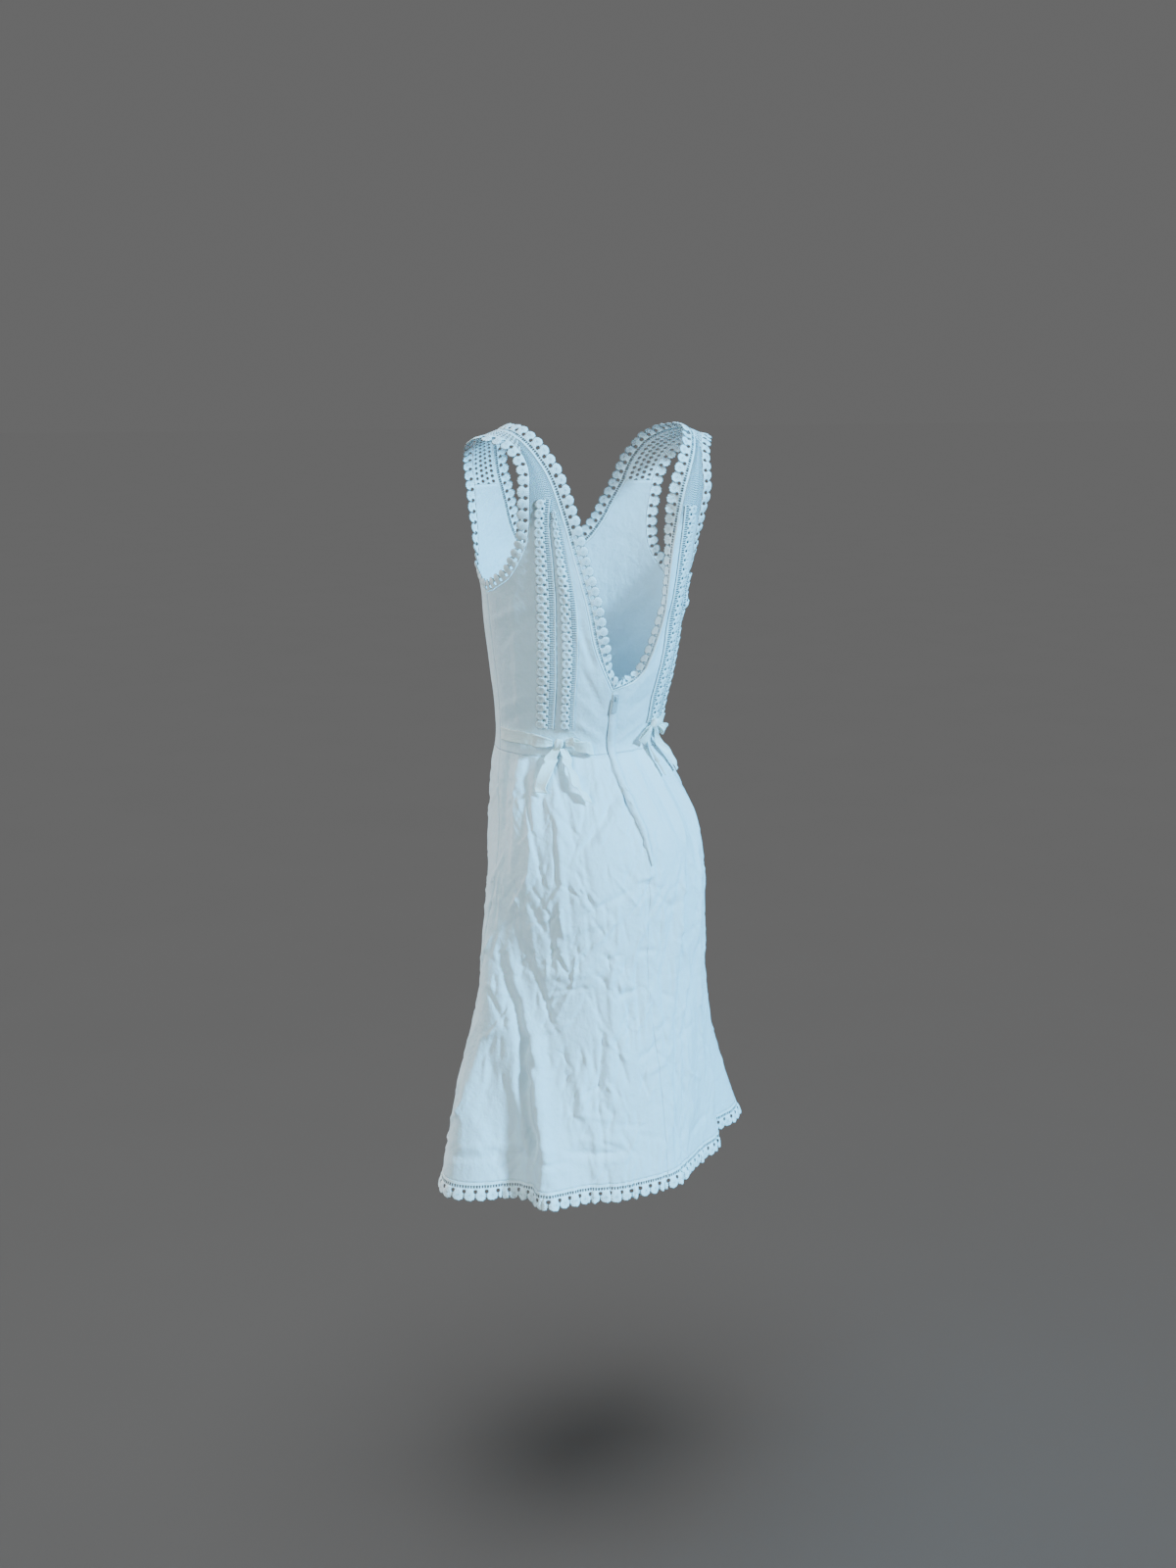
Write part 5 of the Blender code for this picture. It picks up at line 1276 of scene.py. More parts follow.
def edging_pattern(kind):
    """The thread of one repeat of an edging: above 0 inside it. A disc, a round eyelet on each side
    where two discs meet, and a row of slots in the heading."""
    sizes = edging_sizes(kind)

    def pattern(x, y, step):
        shapes = [discs(x, y, sizes["middle"], sizes["radius"])]
        shapes.append(ring(np.abs(x) - step / 2, y, sizes["eyelets"], EYELET_RADIUS))
        if sizes["slots"]:
            shapes.append(oblong(bars(x, step), y, sizes["slots"], SLOT_HALF_WIDTH, SLOT_HALF_LENGTH))
        return np.minimum.reduce(shapes)

    return pattern


def strip_pattern(x, y, step):
    """The thread of one repeat of a strip: a ladder of bars along its straight edge, small holes, and
    a chain of rings along its scalloped edge."""
    return np.minimum.reduce([
        discs(x, y, STRIP_BRAID, STRIP_RING),
        oblong(bars(x, step), y, STRIP_LADDER, LADDER_HALF_WIDTH, LADDER_HALF_LENGTH),
        ring(np.abs(x) - step / 2, y, STRIP_BRAID - STRIP_EYELET[0], STRIP_EYELET[1]),
        ring(x, y, STRIP_BRAID - STRIP_PINHOLE[0], STRIP_PINHOLE[1]),
    ])


def strap_pattern(x, y, step):
    """The thread of one repeat of the strap: four rows of round openings, each set off by half."""
    rows = []
    for number, (centre, radius) in enumerate(STRAP_ROWS):
        rows.append(ring(repeat(x, step, (number % 2) * step / 2), y, centre, radius))
    return np.minimum.reduce(rows)


def puffed(middle, radius, dip):
    """The relief of a row of discs, and how deep in the cleft between two of them each place lies, which
    the crochet's finish paints as shade: a dome on each disc, dipped at its middle, tilted so that each
    laps over the next, and stitches that fan out from it."""

    def relief(x, y, step):
        out = np.hypot(x, y - middle) / radius
        dome = np.sqrt(np.clip(1 - out**2, 0.0, 1.0))
        fan = FAN_HEIGHT * np.cos(FAN_STITCHES * np.arctan2(y - middle, x)) * ease(2 * (out - FAN_START))
        hollow = dip * np.exp(-((out / DIP_RADIUS) ** 2))
        lap = DISC_LAP * x / step * ease((y - middle) / radius + 1.0)
        cleft = np.exp(-(((step / 2 - np.abs(x)) / CLEFT) ** 2)) * ease((y - middle) / radius + 1.0)
        return DISC_HEIGHT * (dome - hollow) + fan * (out < 1) + lap, cleft

    return relief


def smooth_thread(x, y, step):
    """The relief and the clefts of a piece that has neither."""
    return np.zeros_like(x), np.zeros_like(x)


def cut_lace(step, repeats, width, pattern, cell):
    """A flat grid cut by a pattern, which is a distance, above 0 in the thread. A face of the grid
    stays where its middle lies in the thread, and the points of each rim slide down the pattern's
    slope onto its 0 line. Gives the length along and the distance across of each point, the faces,
    and how far inside the thread each point lies."""
    count_along = repeats * max(CELLS_ALONG, round(step / cell))
    count_across = max(CELLS_ACROSS, round(width / cell))
    total = step * repeats
    across, along = np.meshgrid(
        np.linspace(0.0, width, count_across + 1), np.linspace(0.0, total, count_along + 1), indexing="ij"
    )

    def inside(s, d):
        return pattern(local_x(s, step), d, step)

    faces = grid_faces(count_across + 1, count_along + 1)
    s, d = along.ravel(), across.ravel()
    kept = inside(s[faces].mean(axis=1), d[faces].mean(axis=1)) > 0
    touching = np.bincount(faces.ravel(), minlength=s.size)
    used = np.bincount(faces[kept].ravel(), minlength=s.size)
    rim = (used > 0) & (used < touching)
    at_end, at_heading = (s <= 0) | (s >= total), d <= 0
    for _ in range(RIM_PASSES):
        slope_s = (inside(s + SLOPE_STEP, d) - inside(s - SLOPE_STEP, d)) / (2 * SLOPE_STEP)
        slope_d = (inside(s, d + SLOPE_STEP) - inside(s, d - SLOPE_STEP)) / (2 * SLOPE_STEP)
        push = -inside(s, d) / np.maximum(slope_s**2 + slope_d**2, LEAST_SLOPE)
        push = np.clip(push, -RIM_SLIDE * cell, RIM_SLIDE * cell) * rim
        s = np.where(at_end, s, np.clip(s + push * slope_s, 0.0, total))
        d = np.where(at_heading, d, np.clip(d + push * slope_d, 0.0, width + PICOT))
    order = np.flatnonzero(used)
    new = np.zeros(used.size, int)
    new[order] = np.arange(order.size)
    s, d = s[order], d[order]
    return s, d, new[faces[kept]], np.maximum(inside(s, d), 0.0)


def local_x(s, step):
    """Lengths along a piece, measured from the middle of the repeat that they lie in."""
    return (np.mod(s / step, 1.0) - 0.5) * step


def lace_normals(place, points, s, d, total):
    """The outward normal at each point of a crochet piece, from the places next to it."""
    along = place(np.minimum(s + NORMAL_STEP, total), d) - place(np.maximum(s - NORMAL_STEP, 0.0), d)
    across = place(s, d + NORMAL_STEP) - place(s, np.maximum(d - NORMAL_STEP, 0.0))
    normal = unit(np.cross(along, across))
    return normal * np.sign(np.median(np.sum(normal * (points - inner_point(points)), axis=1)))


def lace_piece(name, place, step, repeats, width, pattern, shape, sizes, finish, node):
    """A crochet piece cut by its pattern from a flat grid and laid along an edge. place carries every
    point, by its length along and its distance across, to its spot on the dress. The relief, which
    rounds the thread towards every rim, then moves it out along the normal."""
    s, d, faces, within = cut_lace(step, repeats, width, pattern, sizes.lace_cell)
    total = step * repeats
    points = place(s, d)
    normal = lace_normals(place, points, s, d, total)
    shaped, cleft = shape(local_x(s, step), d, step)
    relief = ROUNDING * (1 - np.exp(-within / ROUNDING)) + shaped
    uv = np.stack([s / step, d], axis=-1)
    piece = Piece(name, points + normal * relief[:, None], faces, finish, uv, "crochet")
    # The raised number that the crochet's finish paints shade by: low near every rim and in the clefts
    # between discs, painted darker, and high on the tops of the discs, painted lighter.
    high = shaped / max(DISC_HEIGHT, float(shaped.max()))
    raised = RIM_SHARE * (1 - np.exp(-within / RIM_SHADE)) + HEIGHT_SHARE * high - CLEFT_SHADE * cleft
    piece.attribute("raised", raised)
    one, other = points[faces[:, 2]] - points[faces[:, 0]], points[faces[:, 3]] - points[faces[:, 1]]
    area = float(np.linalg.norm(np.cross(one, other), axis=-1).sum() / 2)
    return piece.outwards().wall(sizes.lace_wall).replaces(node).sheet((width, total), area, "gathered")


def edging_place(edge, kind, tilt=None, share=None, mitre=None):
    """The place of each point of an edging from its length along the edge and distance past it, with
    the repeat that fits the edge evenly and the number of repeats."""
    sizes = edging_sizes(kind)
    width, gap = sizes["width"], sizes["gap"]
    total = edge.length[-1]
    repeats = round(total / sizes["pitch"])

    def place(length, distance):
        point, normal, onward = edge.at(length)
        part = np.ones_like(length) if share is None else share(length)
        angle = np.zeros_like(length) if tilt is None else np.radians(tilt(length))
        way = onward * np.cos(angle)[:, None] - normal * np.sin(angle)[:, None]
        reach = way * (distance * part)[:, None]
        if mitre is not None:
            near = ease(1 - length / V_MITRE_LENGTH)[:, None]
            reach = reach * (1 - near) + np.asarray(mitre) * (distance / width)[:, None] * near
        turns = length / total * repeats * FLUTTER_WAVES
        wave = FLUTTER * np.sin(2 * np.pi * turns) * ease(distance / width)
        return point + onward * heading_gap(gap, angle)[:, None] + reach + normal * wave[:, None]

    return place, total / repeats, repeats


def edging(name, edge, kind, sizes, node, **ways):
    """A crochet edging of one kind along an edge."""
    place, step, repeats = edging_place(edge, kind, **ways)
    row = edging_sizes(kind)
    finish = crochet(kind, row["pitch"], row["middle"], "edging")
    shape = puffed(row["middle"], row["radius"], 0.0)
    return lace_piece(
        name, place, step, repeats, row["width"], edging_pattern(kind), shape, sizes, finish, node
    )


def lace_strip(place_name, finish, sizes):
    """A strip on a back panel: its points are the panel's between two turns, moved out."""
    table, side = STRIPS[place_name], 1 if place_name.startswith("left") else -1
    low, high = table[0][0], table[-1][0]
    repeats = round((high - low) / STRIP_PITCH)

    def place(s, d):
        height = low + s
        outer = table_value(table, STRIP_COLUMNS, "height", "outer", height)
        inner = table_value(table, STRIP_COLUMNS, "height", "inner", height)
        turn = side * (inner + (outer - inner) * d / STRIP_WIDTH)
        out = STRIP_OUT + STRIP_CROWN * np.sin(np.pi * np.clip(d / STRIP_WIDTH, 0, 1))
        return surface(height, turn) + directions(height, turn)[2] * out[:, None]

    step = (high - low) / repeats
    name, node = f"lace_{place_name}", f"lace_strip_{place_name}"
    shape = puffed(STRIP_BRAID, STRIP_RING, STRIP_DIP)
    return lace_piece(name, place, step, repeats, STRIP_WIDTH, strip_pattern, shape, sizes, finish, node)


def strap_lace(side, word, finish, sizes):
    """The crochet strap, whose pattern is carried over the shoulder."""
    repeats = round(STRAP_LENGTH / STRAP_PITCH)
    step = STRAP_LENGTH / repeats

    def place(s, d):
        return strap_place(side, np.clip(s / STRAP_LENGTH, 0.0, 1.0), np.clip(d / STRAP_WIDTH, 0.0, 1.0))

    name, node = f"strap_{word}", f"strap_lace_{word}"
    return lace_piece(
        name, place, step, repeats, STRAP_WIDTH, strap_pattern, smooth_thread, sizes, finish, node
    )


def zip_lap_grid():
    """The lap over the zip: a strip of the right panels from the centre back line, moved out, with
    its middle raised and its free edge rolled down."""
    heights = np.linspace(ZIP_LAP[0][0], ZIP_LAP[-1][0], ZIP_LAP_ROWS)
    share = np.linspace(0.0, 1.0, ZIP_LAP_WIDE)
    rise = np.sin(np.pi * np.clip(share * ZIP_ROLL, 0.0, 1.0)) ** ZIP_FULLNESS
    rows = []
    for height in heights:
        near, far, raised = (
            float(table_value(ZIP_LAP[::-1], ZIP_LAP_COLUMNS, "height", name, height))
            for name in ZIP_LAP_COLUMNS[1:]
        )
        xs = lap_x(height) - (near + (far - near) * share)
        turns = np.array([turn_at_x(height, x) for x in xs])
        ripple = ZIP_RIPPLE * np.sin(height / ZIP_RIPPLE_LENGTH)
        out = 2 * SEAM + CLOTH + raised * rise + ripple * rise
        flat_height = np.full(ZIP_LAP_WIDE, height)
        rows.append(surface(flat_height, turns) + directions(flat_height, turns)[2] * out[:, None])
    return np.array(rows)


def ribbon_grid(table):
    """A ribbon through the rows of its table. It is drawn in to pleats where it is narrower than its
    cut width, deeper the more it is drawn in, and curls slightly across."""
    values = np.array(table)
    known = np.arange(len(values))
    at = np.linspace(0, known[-1], known[-1] * RIBBON_FINENESS + 1)
    turn, height, out, width, lean, roll = (smooth(at, known, values[:, k]) for k in range(6))
    around, upward, outward = directions(height, turn)
    lean, roll = np.radians(lean)[:, None], np.radians(roll)[:, None]
    flat = around * np.cos(lean) + upward * np.sin(lean)
    across = flat * np.cos(roll) + outward * np.sin(roll)
    facing = outward * np.cos(roll) - flat * np.sin(roll)
    middle = surface(height, turn) + outward * out[:, None]
    share = np.linspace(-0.5, 0.5, RIBBON_WIDE)
    drawn = np.clip(1 - width / RIBBON_WIDTH, 0.0, 1.0)[:, None]
    pleat = RIBBON_PLEAT * drawn * np.cos(2 * np.pi * RIBBON_PLEATS * share)
    pleat = pleat + RIBBON_CURL * (4 * share**2 - CURL_BELOW)
    return (
        middle[:, None]
        + across[:, None] * (width[:, None] * share)[..., None]
        + facing[:, None] * pleat[..., None]
    )


def knot_points(place):
    """A knot: a flattened ball with the turns of the ribbon standing out as soft bands round it."""
    turn, height, out = place
    around, upward, outward = directions(height, turn)
    middle = surface(height, turn) + outward * out
    across, down = np.meshgrid(
        np.linspace(0, 2 * np.pi, KNOT_ROUND + 1), np.linspace(0, np.pi, KNOT_TALL + 1)
    )
    ball = np.stack([np.sin(down) * np.cos(across), np.cos(down), np.sin(down) * np.sin(across)], axis=-1)
    wave = np.cos(KNOT_BANDS * ball[..., 0] + KNOT_SLANT * ball[..., 1])
    bands = 1 - KNOT_BAND * (0.5 + 0.5 * wave) * np.sin(down)
    size = ball * bands[..., None] * np.asarray(KNOT_HALF_SIZE)
    return middle + size[..., :1] * around + size[..., 1:2] * upward + size[..., 2:] * outward


def closed_ball(name, points, finish, node):
    """A ball from its grid of points, with one point at each pole and its last column joined to its
    first."""
    tall, round_it = points.shape[0] - 1, points.shape[1] - 1
    pairs = [(k, (k + 1) % round_it) for k in range(round_it)]
    body = points[1:-1, :-1].reshape(-1, 3)
    faces = []
    for low in range(0, (tall - 2) * round_it, round_it):
        faces += [(low + k, low + after, low + round_it + after, low + round_it + k) for k, after in pairs]
    top, bottom = len(body), len(body) + 1
    last = (tall - 2) * round_it
    faces += [(top, after, k) for k, after in pairs]
    faces += [(bottom, last + k, last + after) for k, after in pairs]
    verts = np.concatenate([body, points[:1, 0], points[-1:, 0]])
    uv = (verts - verts.mean(axis=0))[:, [0, 2]]
    piece = Piece(name, verts, faces, finish, uv, "cotton")
    mesh = piece.object.data
    middle = verts.mean(axis=0)
    signed = sum(face.normal.dot(face.center - Vector(middle)) for face in mesh.polygons)
    if signed < 0:
        mesh.flip_normals()
    return piece.replaces(node)


def stitches(name, runs, finish, pitch, thick):
    """Rows of sewing stitches. Each stitch is a slim lens from where the thread comes out of the
    cloth to where it goes in: two ends and a ring of four points between them."""
    lens = [(0, 1, 2), (0, 2, 3), (0, 3, 4), (0, 4, 1), (5, 2, 1), (5, 3, 2), (5, 4, 3), (5, 1, 4)]
    points, faces, count = [], [], 0
    for line, normal in runs:
        length = steps_along(line[None], 1)[0]
        number = max(1, int(length[-1] / pitch))
        starts, ends = ((np.arange(number) + part) * length[-1] / number for part in STITCH_SHOWS)
        first, last = along_line(starts, length, line), along_line(ends, length, line)
        up = unit(along_line((starts + ends) / 2, length, normal))
        middle = (first + last) / 2
        aside = unit(np.cross(last - first, up)) * thick * STITCH_WIDTH
        rise = up * thick
        waist = [middle + aside, middle + rise, middle - aside, middle - STITCH_DEPTH * rise]
        group = np.stack([first, *waist, last], axis=1)
        size = group.shape[1]
        first_points = size * np.arange(number)[:, None, None] + count
        faces.append((np.array(lens)[None] + first_points).reshape(-1, 3))
        points.append(group.reshape(-1, 3))
        count += size * number
    points, faces = np.concatenate(points), np.concatenate(faces)
    return Piece(name, points, faces, finish, points[:, [0, 2]], "cotton")


class Value:
    """A number or vector socket in a material. Maths on it adds the nodes that work it out."""

    def __init__(self, finish, socket):
        self.finish = finish
        self.socket = socket

    def math(self, operation, *others):
        """One operation on the value, with the others that it takes."""
        return self.finish.node("ShaderNodeMath", {"operation": operation}, values=(self, *others))

    def __add__(self, other):
        return self.math("ADD", other)

    def __sub__(self, other):
        return self.math("SUBTRACT", other)

    def __rsub__(self, other):
        return (self * -1.0) + other

    def __mul__(self, other):
        return self.math("MULTIPLY", other)

    def __pow__(self, other):
        return self.math("POWER", other)

    __radd__ = __add__
    __rmul__ = __mul__

    def wave(self):
        """The cosine of the value, as an angle."""
        return self.math("COSINE")

    def waves(self, pitch, shift=None):
        """Waves from -1 to 1 along the value at this pitch, moved on by an angle."""
        angle = self * (2 * math.pi / pitch)
        return (angle if shift is None else angle + shift).wave()

    def part(self):
        """A value from -1 to 1, brought to 0 to 1."""
        return self * 0.5 + 0.5

    def ridge(self):
        """1 where a value from 0 to 1 is at its middle, falling to 0 on both sides: lines in noise."""
        return (self * 2.0 - 1.0).math("ABSOLUTE") * -1.0 + 1.0

    def step(self, low, high):
        """0 below low, 1 above high and a soft step between."""
        return self.finish.node(
            "ShaderNodeMapRange", {"interpolation_type": "SMOOTHSTEP"}, values=(self, low, high, 0.0, 1.0)
        )


class Finish:
    """One material: a Principled shader and the nodes that feed it."""

    def __init__(self, name, roughness, sheen=0.0, specular=0.5, through=0.0):
        self.material = bpy.data.materials.new(name)
        self.material.use_nodes = True
        self.tree = self.material.node_tree
        self.shader = self.tree.nodes["Principled BSDF"]
        self.shader.inputs["Roughness"].default_value = roughness
        self.shader.inputs["Sheen Weight"].default_value = sheen
        self.shader.inputs["Sheen Roughness"].default_value = 0.5
        self.shader.inputs["Specular IOR Level"].default_value = specular
        self.shader.inputs["Subsurface Weight"].default_value = through
        self.shader.inputs["Subsurface Scale"].default_value = 0.002

    def node(self, kind, settings=None, values=(), output=0, **sockets):
        """Adds a node with its settings, then feeds its sockets by number or by name."""
        made = self.tree.nodes.new(kind)
        for key, value in (settings or {}).items():
            setattr(made, key, value)
        for number, value in enumerate(values):
            self.feed(made.inputs[number], value)
        for name, value in sockets.items():
            self.feed(made.inputs[name.replace("_", " ")], value)
        return Value(self, made.outputs[output])

    def feed(self, socket, value):
        """Links a value to a socket, or sets the socket to a number."""
        if isinstance(value, Value):
            self.tree.links.new(value.socket, socket)
        else:
            socket.default_value = value

    def parts(self, place):
        """The X, Y and Z of a vector."""
        split = self.node("ShaderNodeSeparateXYZ", values=(place,))
        return [Value(self, output) for output in split.socket.node.outputs]

    def map(self):
        """The two numbers of the piece's own map."""
        return self.parts(self.node("ShaderNodeUVMap", {"uv_map": "cloth"}))[:2]

    def spot(self):
        """Where a point lies on its object."""
        return self.node("ShaderNodeTexCoord", output=3)

    def noise(self, scale, detail=2.0, stretch=(1.0, 1.0, 1.0)):
        """Even noise on Object coordinates, from 0 to 1."""
        place = self.node("ShaderNodeMapping", Vector=self.spot(), Scale=stretch)
        return self.node("ShaderNodeTexNoise", Vector=place, Scale=scale, Detail=detail, Roughness=0.55)

    def blend(self, part, dark, light):
        """A colour from dark to light by a part from 0 to 1."""
        made = self.node("ShaderNodeMix", {"data_type": "RGBA"}, output=2)
        mixer = made.socket.node
        self.feed(mixer.inputs[0], part)
        self.feed(mixer.inputs[6], dark)
        self.feed(mixer.inputs[7], light)
        return made

    def tinted(self, part, colour, shades):
        """A colour from its dark to its light shade by a part from 0 to 1."""
        dark, light = (shade(colour, share) for share in shades)
        return self.blend(part, dark, light)

    def done(self, colour, height, depth, strength=0.6, roughness=None):
        """The material, with its colour, its relief of this depth and, if it varies, its roughness."""
        self.feed(self.shader.inputs["Base Color"], colour)
        if roughness is not None:
            self.feed(self.shader.inputs["Roughness"], roughness)
        bump = self.node("ShaderNodeBump", Height=height, Distance=depth, Strength=strength)
        self.feed(self.shader.inputs["Normal"], bump)
        return self.material


def shade(colour, part):
    """A colour made darker, in numbers alone."""
    return (colour[0] * part, colour[1] * part, colour[2] * part, 1.0)


def cotton_finish(name, colour, lace=False):
    """Plain-woven cotton: crossing threads, thicker slubs now and then, and the crinkles of a washed
    cloth in several sizes, with their heights in millimetres. With lace, wavy rows of flat openwork
    cover the cloth near the shoulders, and its openings are painted darker as shade."""
    made = Finish(name, roughness=0.86, sheen=0.25, specular=0.25, through=0.06)
    along, up = made.map()
    weave = (along.waves(WEAVE_PITCH) * up.waves(WEAVE_PITCH)).part()
    upright_slub = made.noise(SLUB_SCALE, detail=1.0, stretch=(1.0, 1.0, SLUB_LONG))
    level_slub = made.noise(SLUB_SCALE, detail=1.0, stretch=(SLUB_LONG, SLUB_LONG, 1.0))
    slub = upright_slub * 0.5 + level_slub * 0.5
    height = weave * WEAVE_HEIGHT + slub * SLUB_HEIGHT
    for scale, tall, high in CRINKLE_LINES:
        height = height + made.noise(scale, stretch=(1.0, 1.0, tall)).ridge() * high
    for scale, detail, high in CLOTH_SWELLS:
        height = height + made.noise(scale, detail) * high
    noise_share, slub_share, weave_share = TONE_SHARES
    tone = made.noise(TONE_SCALE) * noise_share + slub * slub_share + weave * weave_share
    paint = made.tinted(tone.step(*TONE_ENDS), colour, COTTON_SHADES)
    if lace:
        shown = made.parts(made.spot())[2].step(*LACE_TOP)
        rows = up.waves(LACE_ROW, along.waves(LACE_WAVE) * LACE_SWAY).part()
        beads = along.waves(LACE_BEAD).part()
        thread = rows * (beads * LACE_BEAD_SHARE + (1 - LACE_BEAD_SHARE))
        height = height + thread * shown * LACE_HEIGHT
        # Painted shade: the lace's openings are darkened as the cloth seen through them would be in shade.
        openings = ((1 - rows) * (LACE_BETWEEN_BEADS - beads)).step(*LACE_OPEN) * shown
        paint = made.blend(openings, paint, shade(colour, LACE_OPEN_SHADE))
    return made.done(paint, height, depth=0.001, strength=1.0)


def crochet_finish_with_painted_shade(name, colour, step, ring_y, row_pitch, stitch_pitch):
    """Crochet cotton: rows of looped stitches across the piece and a fan of long stitches round each
    disc, with painted shade: lighter where the thread stands out and darker between the threads, along
    every rim and in the clefts between discs."""
    made = Finish(name, roughness=0.82, sheen=0.2, specular=0.3, through=0.05)
    turns, across = made.map()
    x = (turns.math("FRACT") - 0.5) * step
    y = across - ring_y
    out = (x * x + y * y) ** 0.5
    rows = across.waves(row_pitch)
    bead = turns.waves(1 / round(step / stitch_pitch), rows * ROW_BEND)
    loops = rows * LOOP_SHARES[0] + bead * LOOP_SHARES[1]
    lines = (y.math("ARCTAN2", x) * FAN_LINES).wave()
    fan = lines * FAN_SHARES[0] + out.waves(FAN_RING) * FAN_SHARES[1]
    near = 1 - out.step(step * FAN_ENDS[0], step * FAN_ENDS[1])
    stitch = fan * near + loops * (1 - near)
    fibre = made.noise(FIBRE_SCALE)
    height = stitch * CROCHET_HEIGHTS[0] + fibre * CROCHET_HEIGHTS[1]
    # Painted shade from the mesh's raised number: darker at rims and in clefts, lighter on the tops.
    raised = made.node("ShaderNodeAttribute", {"attribute_name": "raised"}, output=2)
    stitch_share, fibre_share, raised_share = CROCHET_TONE_AND_SHADE
    tone = stitch.part() * stitch_share + fibre * fibre_share
    tone = tone + raised.step(0.0, RAISED_FULL) * raised_share
    paint = made.tinted(tone.step(*CROCHET_ENDS), colour, CROCHET_SHADES)
    return made.done(paint, height, depth=0.0007, strength=0.8)


def thread_finish(name, colour):
    """Sewing thread: a tight twist seen as fine slanting stripes."""
    made = Finish(name, roughness=0.6, sheen=0.1)
    x, _, z = made.parts(made.spot())
    twist = (x + z).waves(TWIST_PITCH).part()
    return made.done(made.tinted(twist, colour, TWIST_SHADES), twist, depth=0.0002)


def zip_finish(name, colour):
    """Enamelled metal: smooth, with a little wear at random."""
    made = Finish(name, roughness=0.34, specular=0.5)
    wear = made.noise(WEAR_SCALE, detail=3.0)
    paint = made.tinted(wear.step(*WEAR_ENDS), colour, ENAMEL_SHADES)
    least, more = WEAR_ROUGHNESS
    return made.done(paint, wear, depth=0.0002, strength=0.4, roughness=wear * more + least)


def floor_finish(name, colour):
    """A matt painted studio floor with a barely seen mottle."""
    made = Finish(name, roughness=0.9, specular=0.0)
    mottle = made.noise(MOTTLE_SCALE, detail=3.0)
    return made.done(made.tinted(mottle, colour, FLOOR_SHADES), mottle, depth=0.0004, strength=0.1)


def panels():
    """The grids of all six panels, worked out once."""
    if not PANELS:
        for side, word in SIDES:
            PANELS[f"bodice_back_{word}"] = back_grid(side)
        PANELS["bodice_front"] = front_grid()
        PANELS["skirt_back_left"] = skirt_grid("skirt_back_left", None, 90.0)
        PANELS["skirt_back_right"] = skirt_grid("skirt_back_right", None, -90.0)
        PANELS["skirt_front"] = skirt_grid("skirt_front", 90.0, 270.0)
    return PANELS


def strap_edge(side, across):
    """The neck or armhole edge of a strap as an edge with its normals and its way on."""
    along = np.linspace(0.0, 1.0, STRAP_EDGE_POINTS)[:, None]
    aside = np.array([[across, across + (STRAP_EDGE_STEP if across < 0.5 else -STRAP_EDGE_STEP)]])
    grid = strap_place(side, *(values.ravel() for values in np.broadcast_arrays(along, aside)))
    return edge_of(grid.reshape(STRAP_EDGE_POINTS, 2, 3), "start")


def front_top(side, first, last):
    """Part of the top edge of the front panel, counted in columns of its table from one side."""
    front = panels()["bodice_front"][:, ::side]
    return edge_of(front, "top", first * FRONT_FINENESS, last * FRONT_FINENESS + 1)


def v_trim(name):
    """A column of the table of the V's trims, read at lengths from its lowest point."""
    return lambda length: table_value(V_TRIM, V_TRIM_COLUMNS, "length", name, length)


def neck_edges():
    """The four edges of the neckline: each side of the V up to the shoulder seam, and each half of
    the front from there to its middle."""
    heights = back_heights()
    low = int(np.argmin(np.abs(heights - V_LOW)))
    fronts = {}
    for side in (1, -1):
        half = front_top(side, STRAP_NECK_COLUMN, len(FRONT_TOP) - 1)
        fronts[side] = strap_edge(side, 0.0).joined(half)
    match(fronts[1], -1, fronts[-1], -1)
    backs = {}
    for side, word in SIDES:
        backs[side] = edge_of(panels()[f"bodice_back_{word}"], "start", first=low)
        match(backs[side], -1, fronts[side], 0)
    return backs, fronts


def armhole_edges():
    """The edges of the armholes from the side seam up: the back one to the shoulder seam, and the
    front one on over the strap."""
    heights = back_heights()
    low = int(np.argmin(np.abs(heights - UNDERARM)))
    found = {}
    for side, word in SIDES:
        back = edge_of(panels()[f"bodice_back_{word}"], "end", first=low)
        whole = front_top(side, 0, STRAP_ARM_COLUMN).joined(strap_edge(side, 1.0).reversed())
        match(back, 0, whole, 0)
        match(back, -1, whole, -1)
        found[side] = (back, whole)
    return found


def hem_edges():
    """The lower edge of the skirt in two halves, from the centre back to the centre front."""
    front = edge_of(panels()["skirt_front"], "top")
    halves = {1: front, -1: front.reversed()}
    whole = {}
    for side, word in SIDES:
        back = edge_of(panels()[f"skirt_back_{word}"], "top")
        whole[side] = back.joined(halves[side].trimmed(0.0, halves[side].length[-1] / 2))
    match(whole[1], 0, whole[-1], 0)
    match(whole[1], -1, whole[-1], -1)
    return whole


def material(name, make, *values):
    """The finish of that name, made the first time it is asked for."""
    return bpy.data.materials.get(name) or make(name, *values)


def cotton(lace=False):
    """The finish of the panels, plain or with flat lace near the shoulders."""
    colour = bpy.context.scene.dress_colours.cotton
    return material("cotton_with_lace_top" if lace else "plain_cotton", cotton_finish, colour, lace)


def ribbon_cotton():
    """The finish of the bows."""
    return material("ribbon_cotton", cotton_finish, bpy.context.scene.dress_colours.ribbon)


def crochet(kind, step, ring_y, work):
    """The finish of a kind of crochet, whose stitches are those of its work."""
    colour = bpy.context.scene.dress_colours.crochet
    return material(f"crochet_{kind}", crochet_finish_with_painted_shade, colour, step, ring_y, *CROCHET_STITCHES[work])


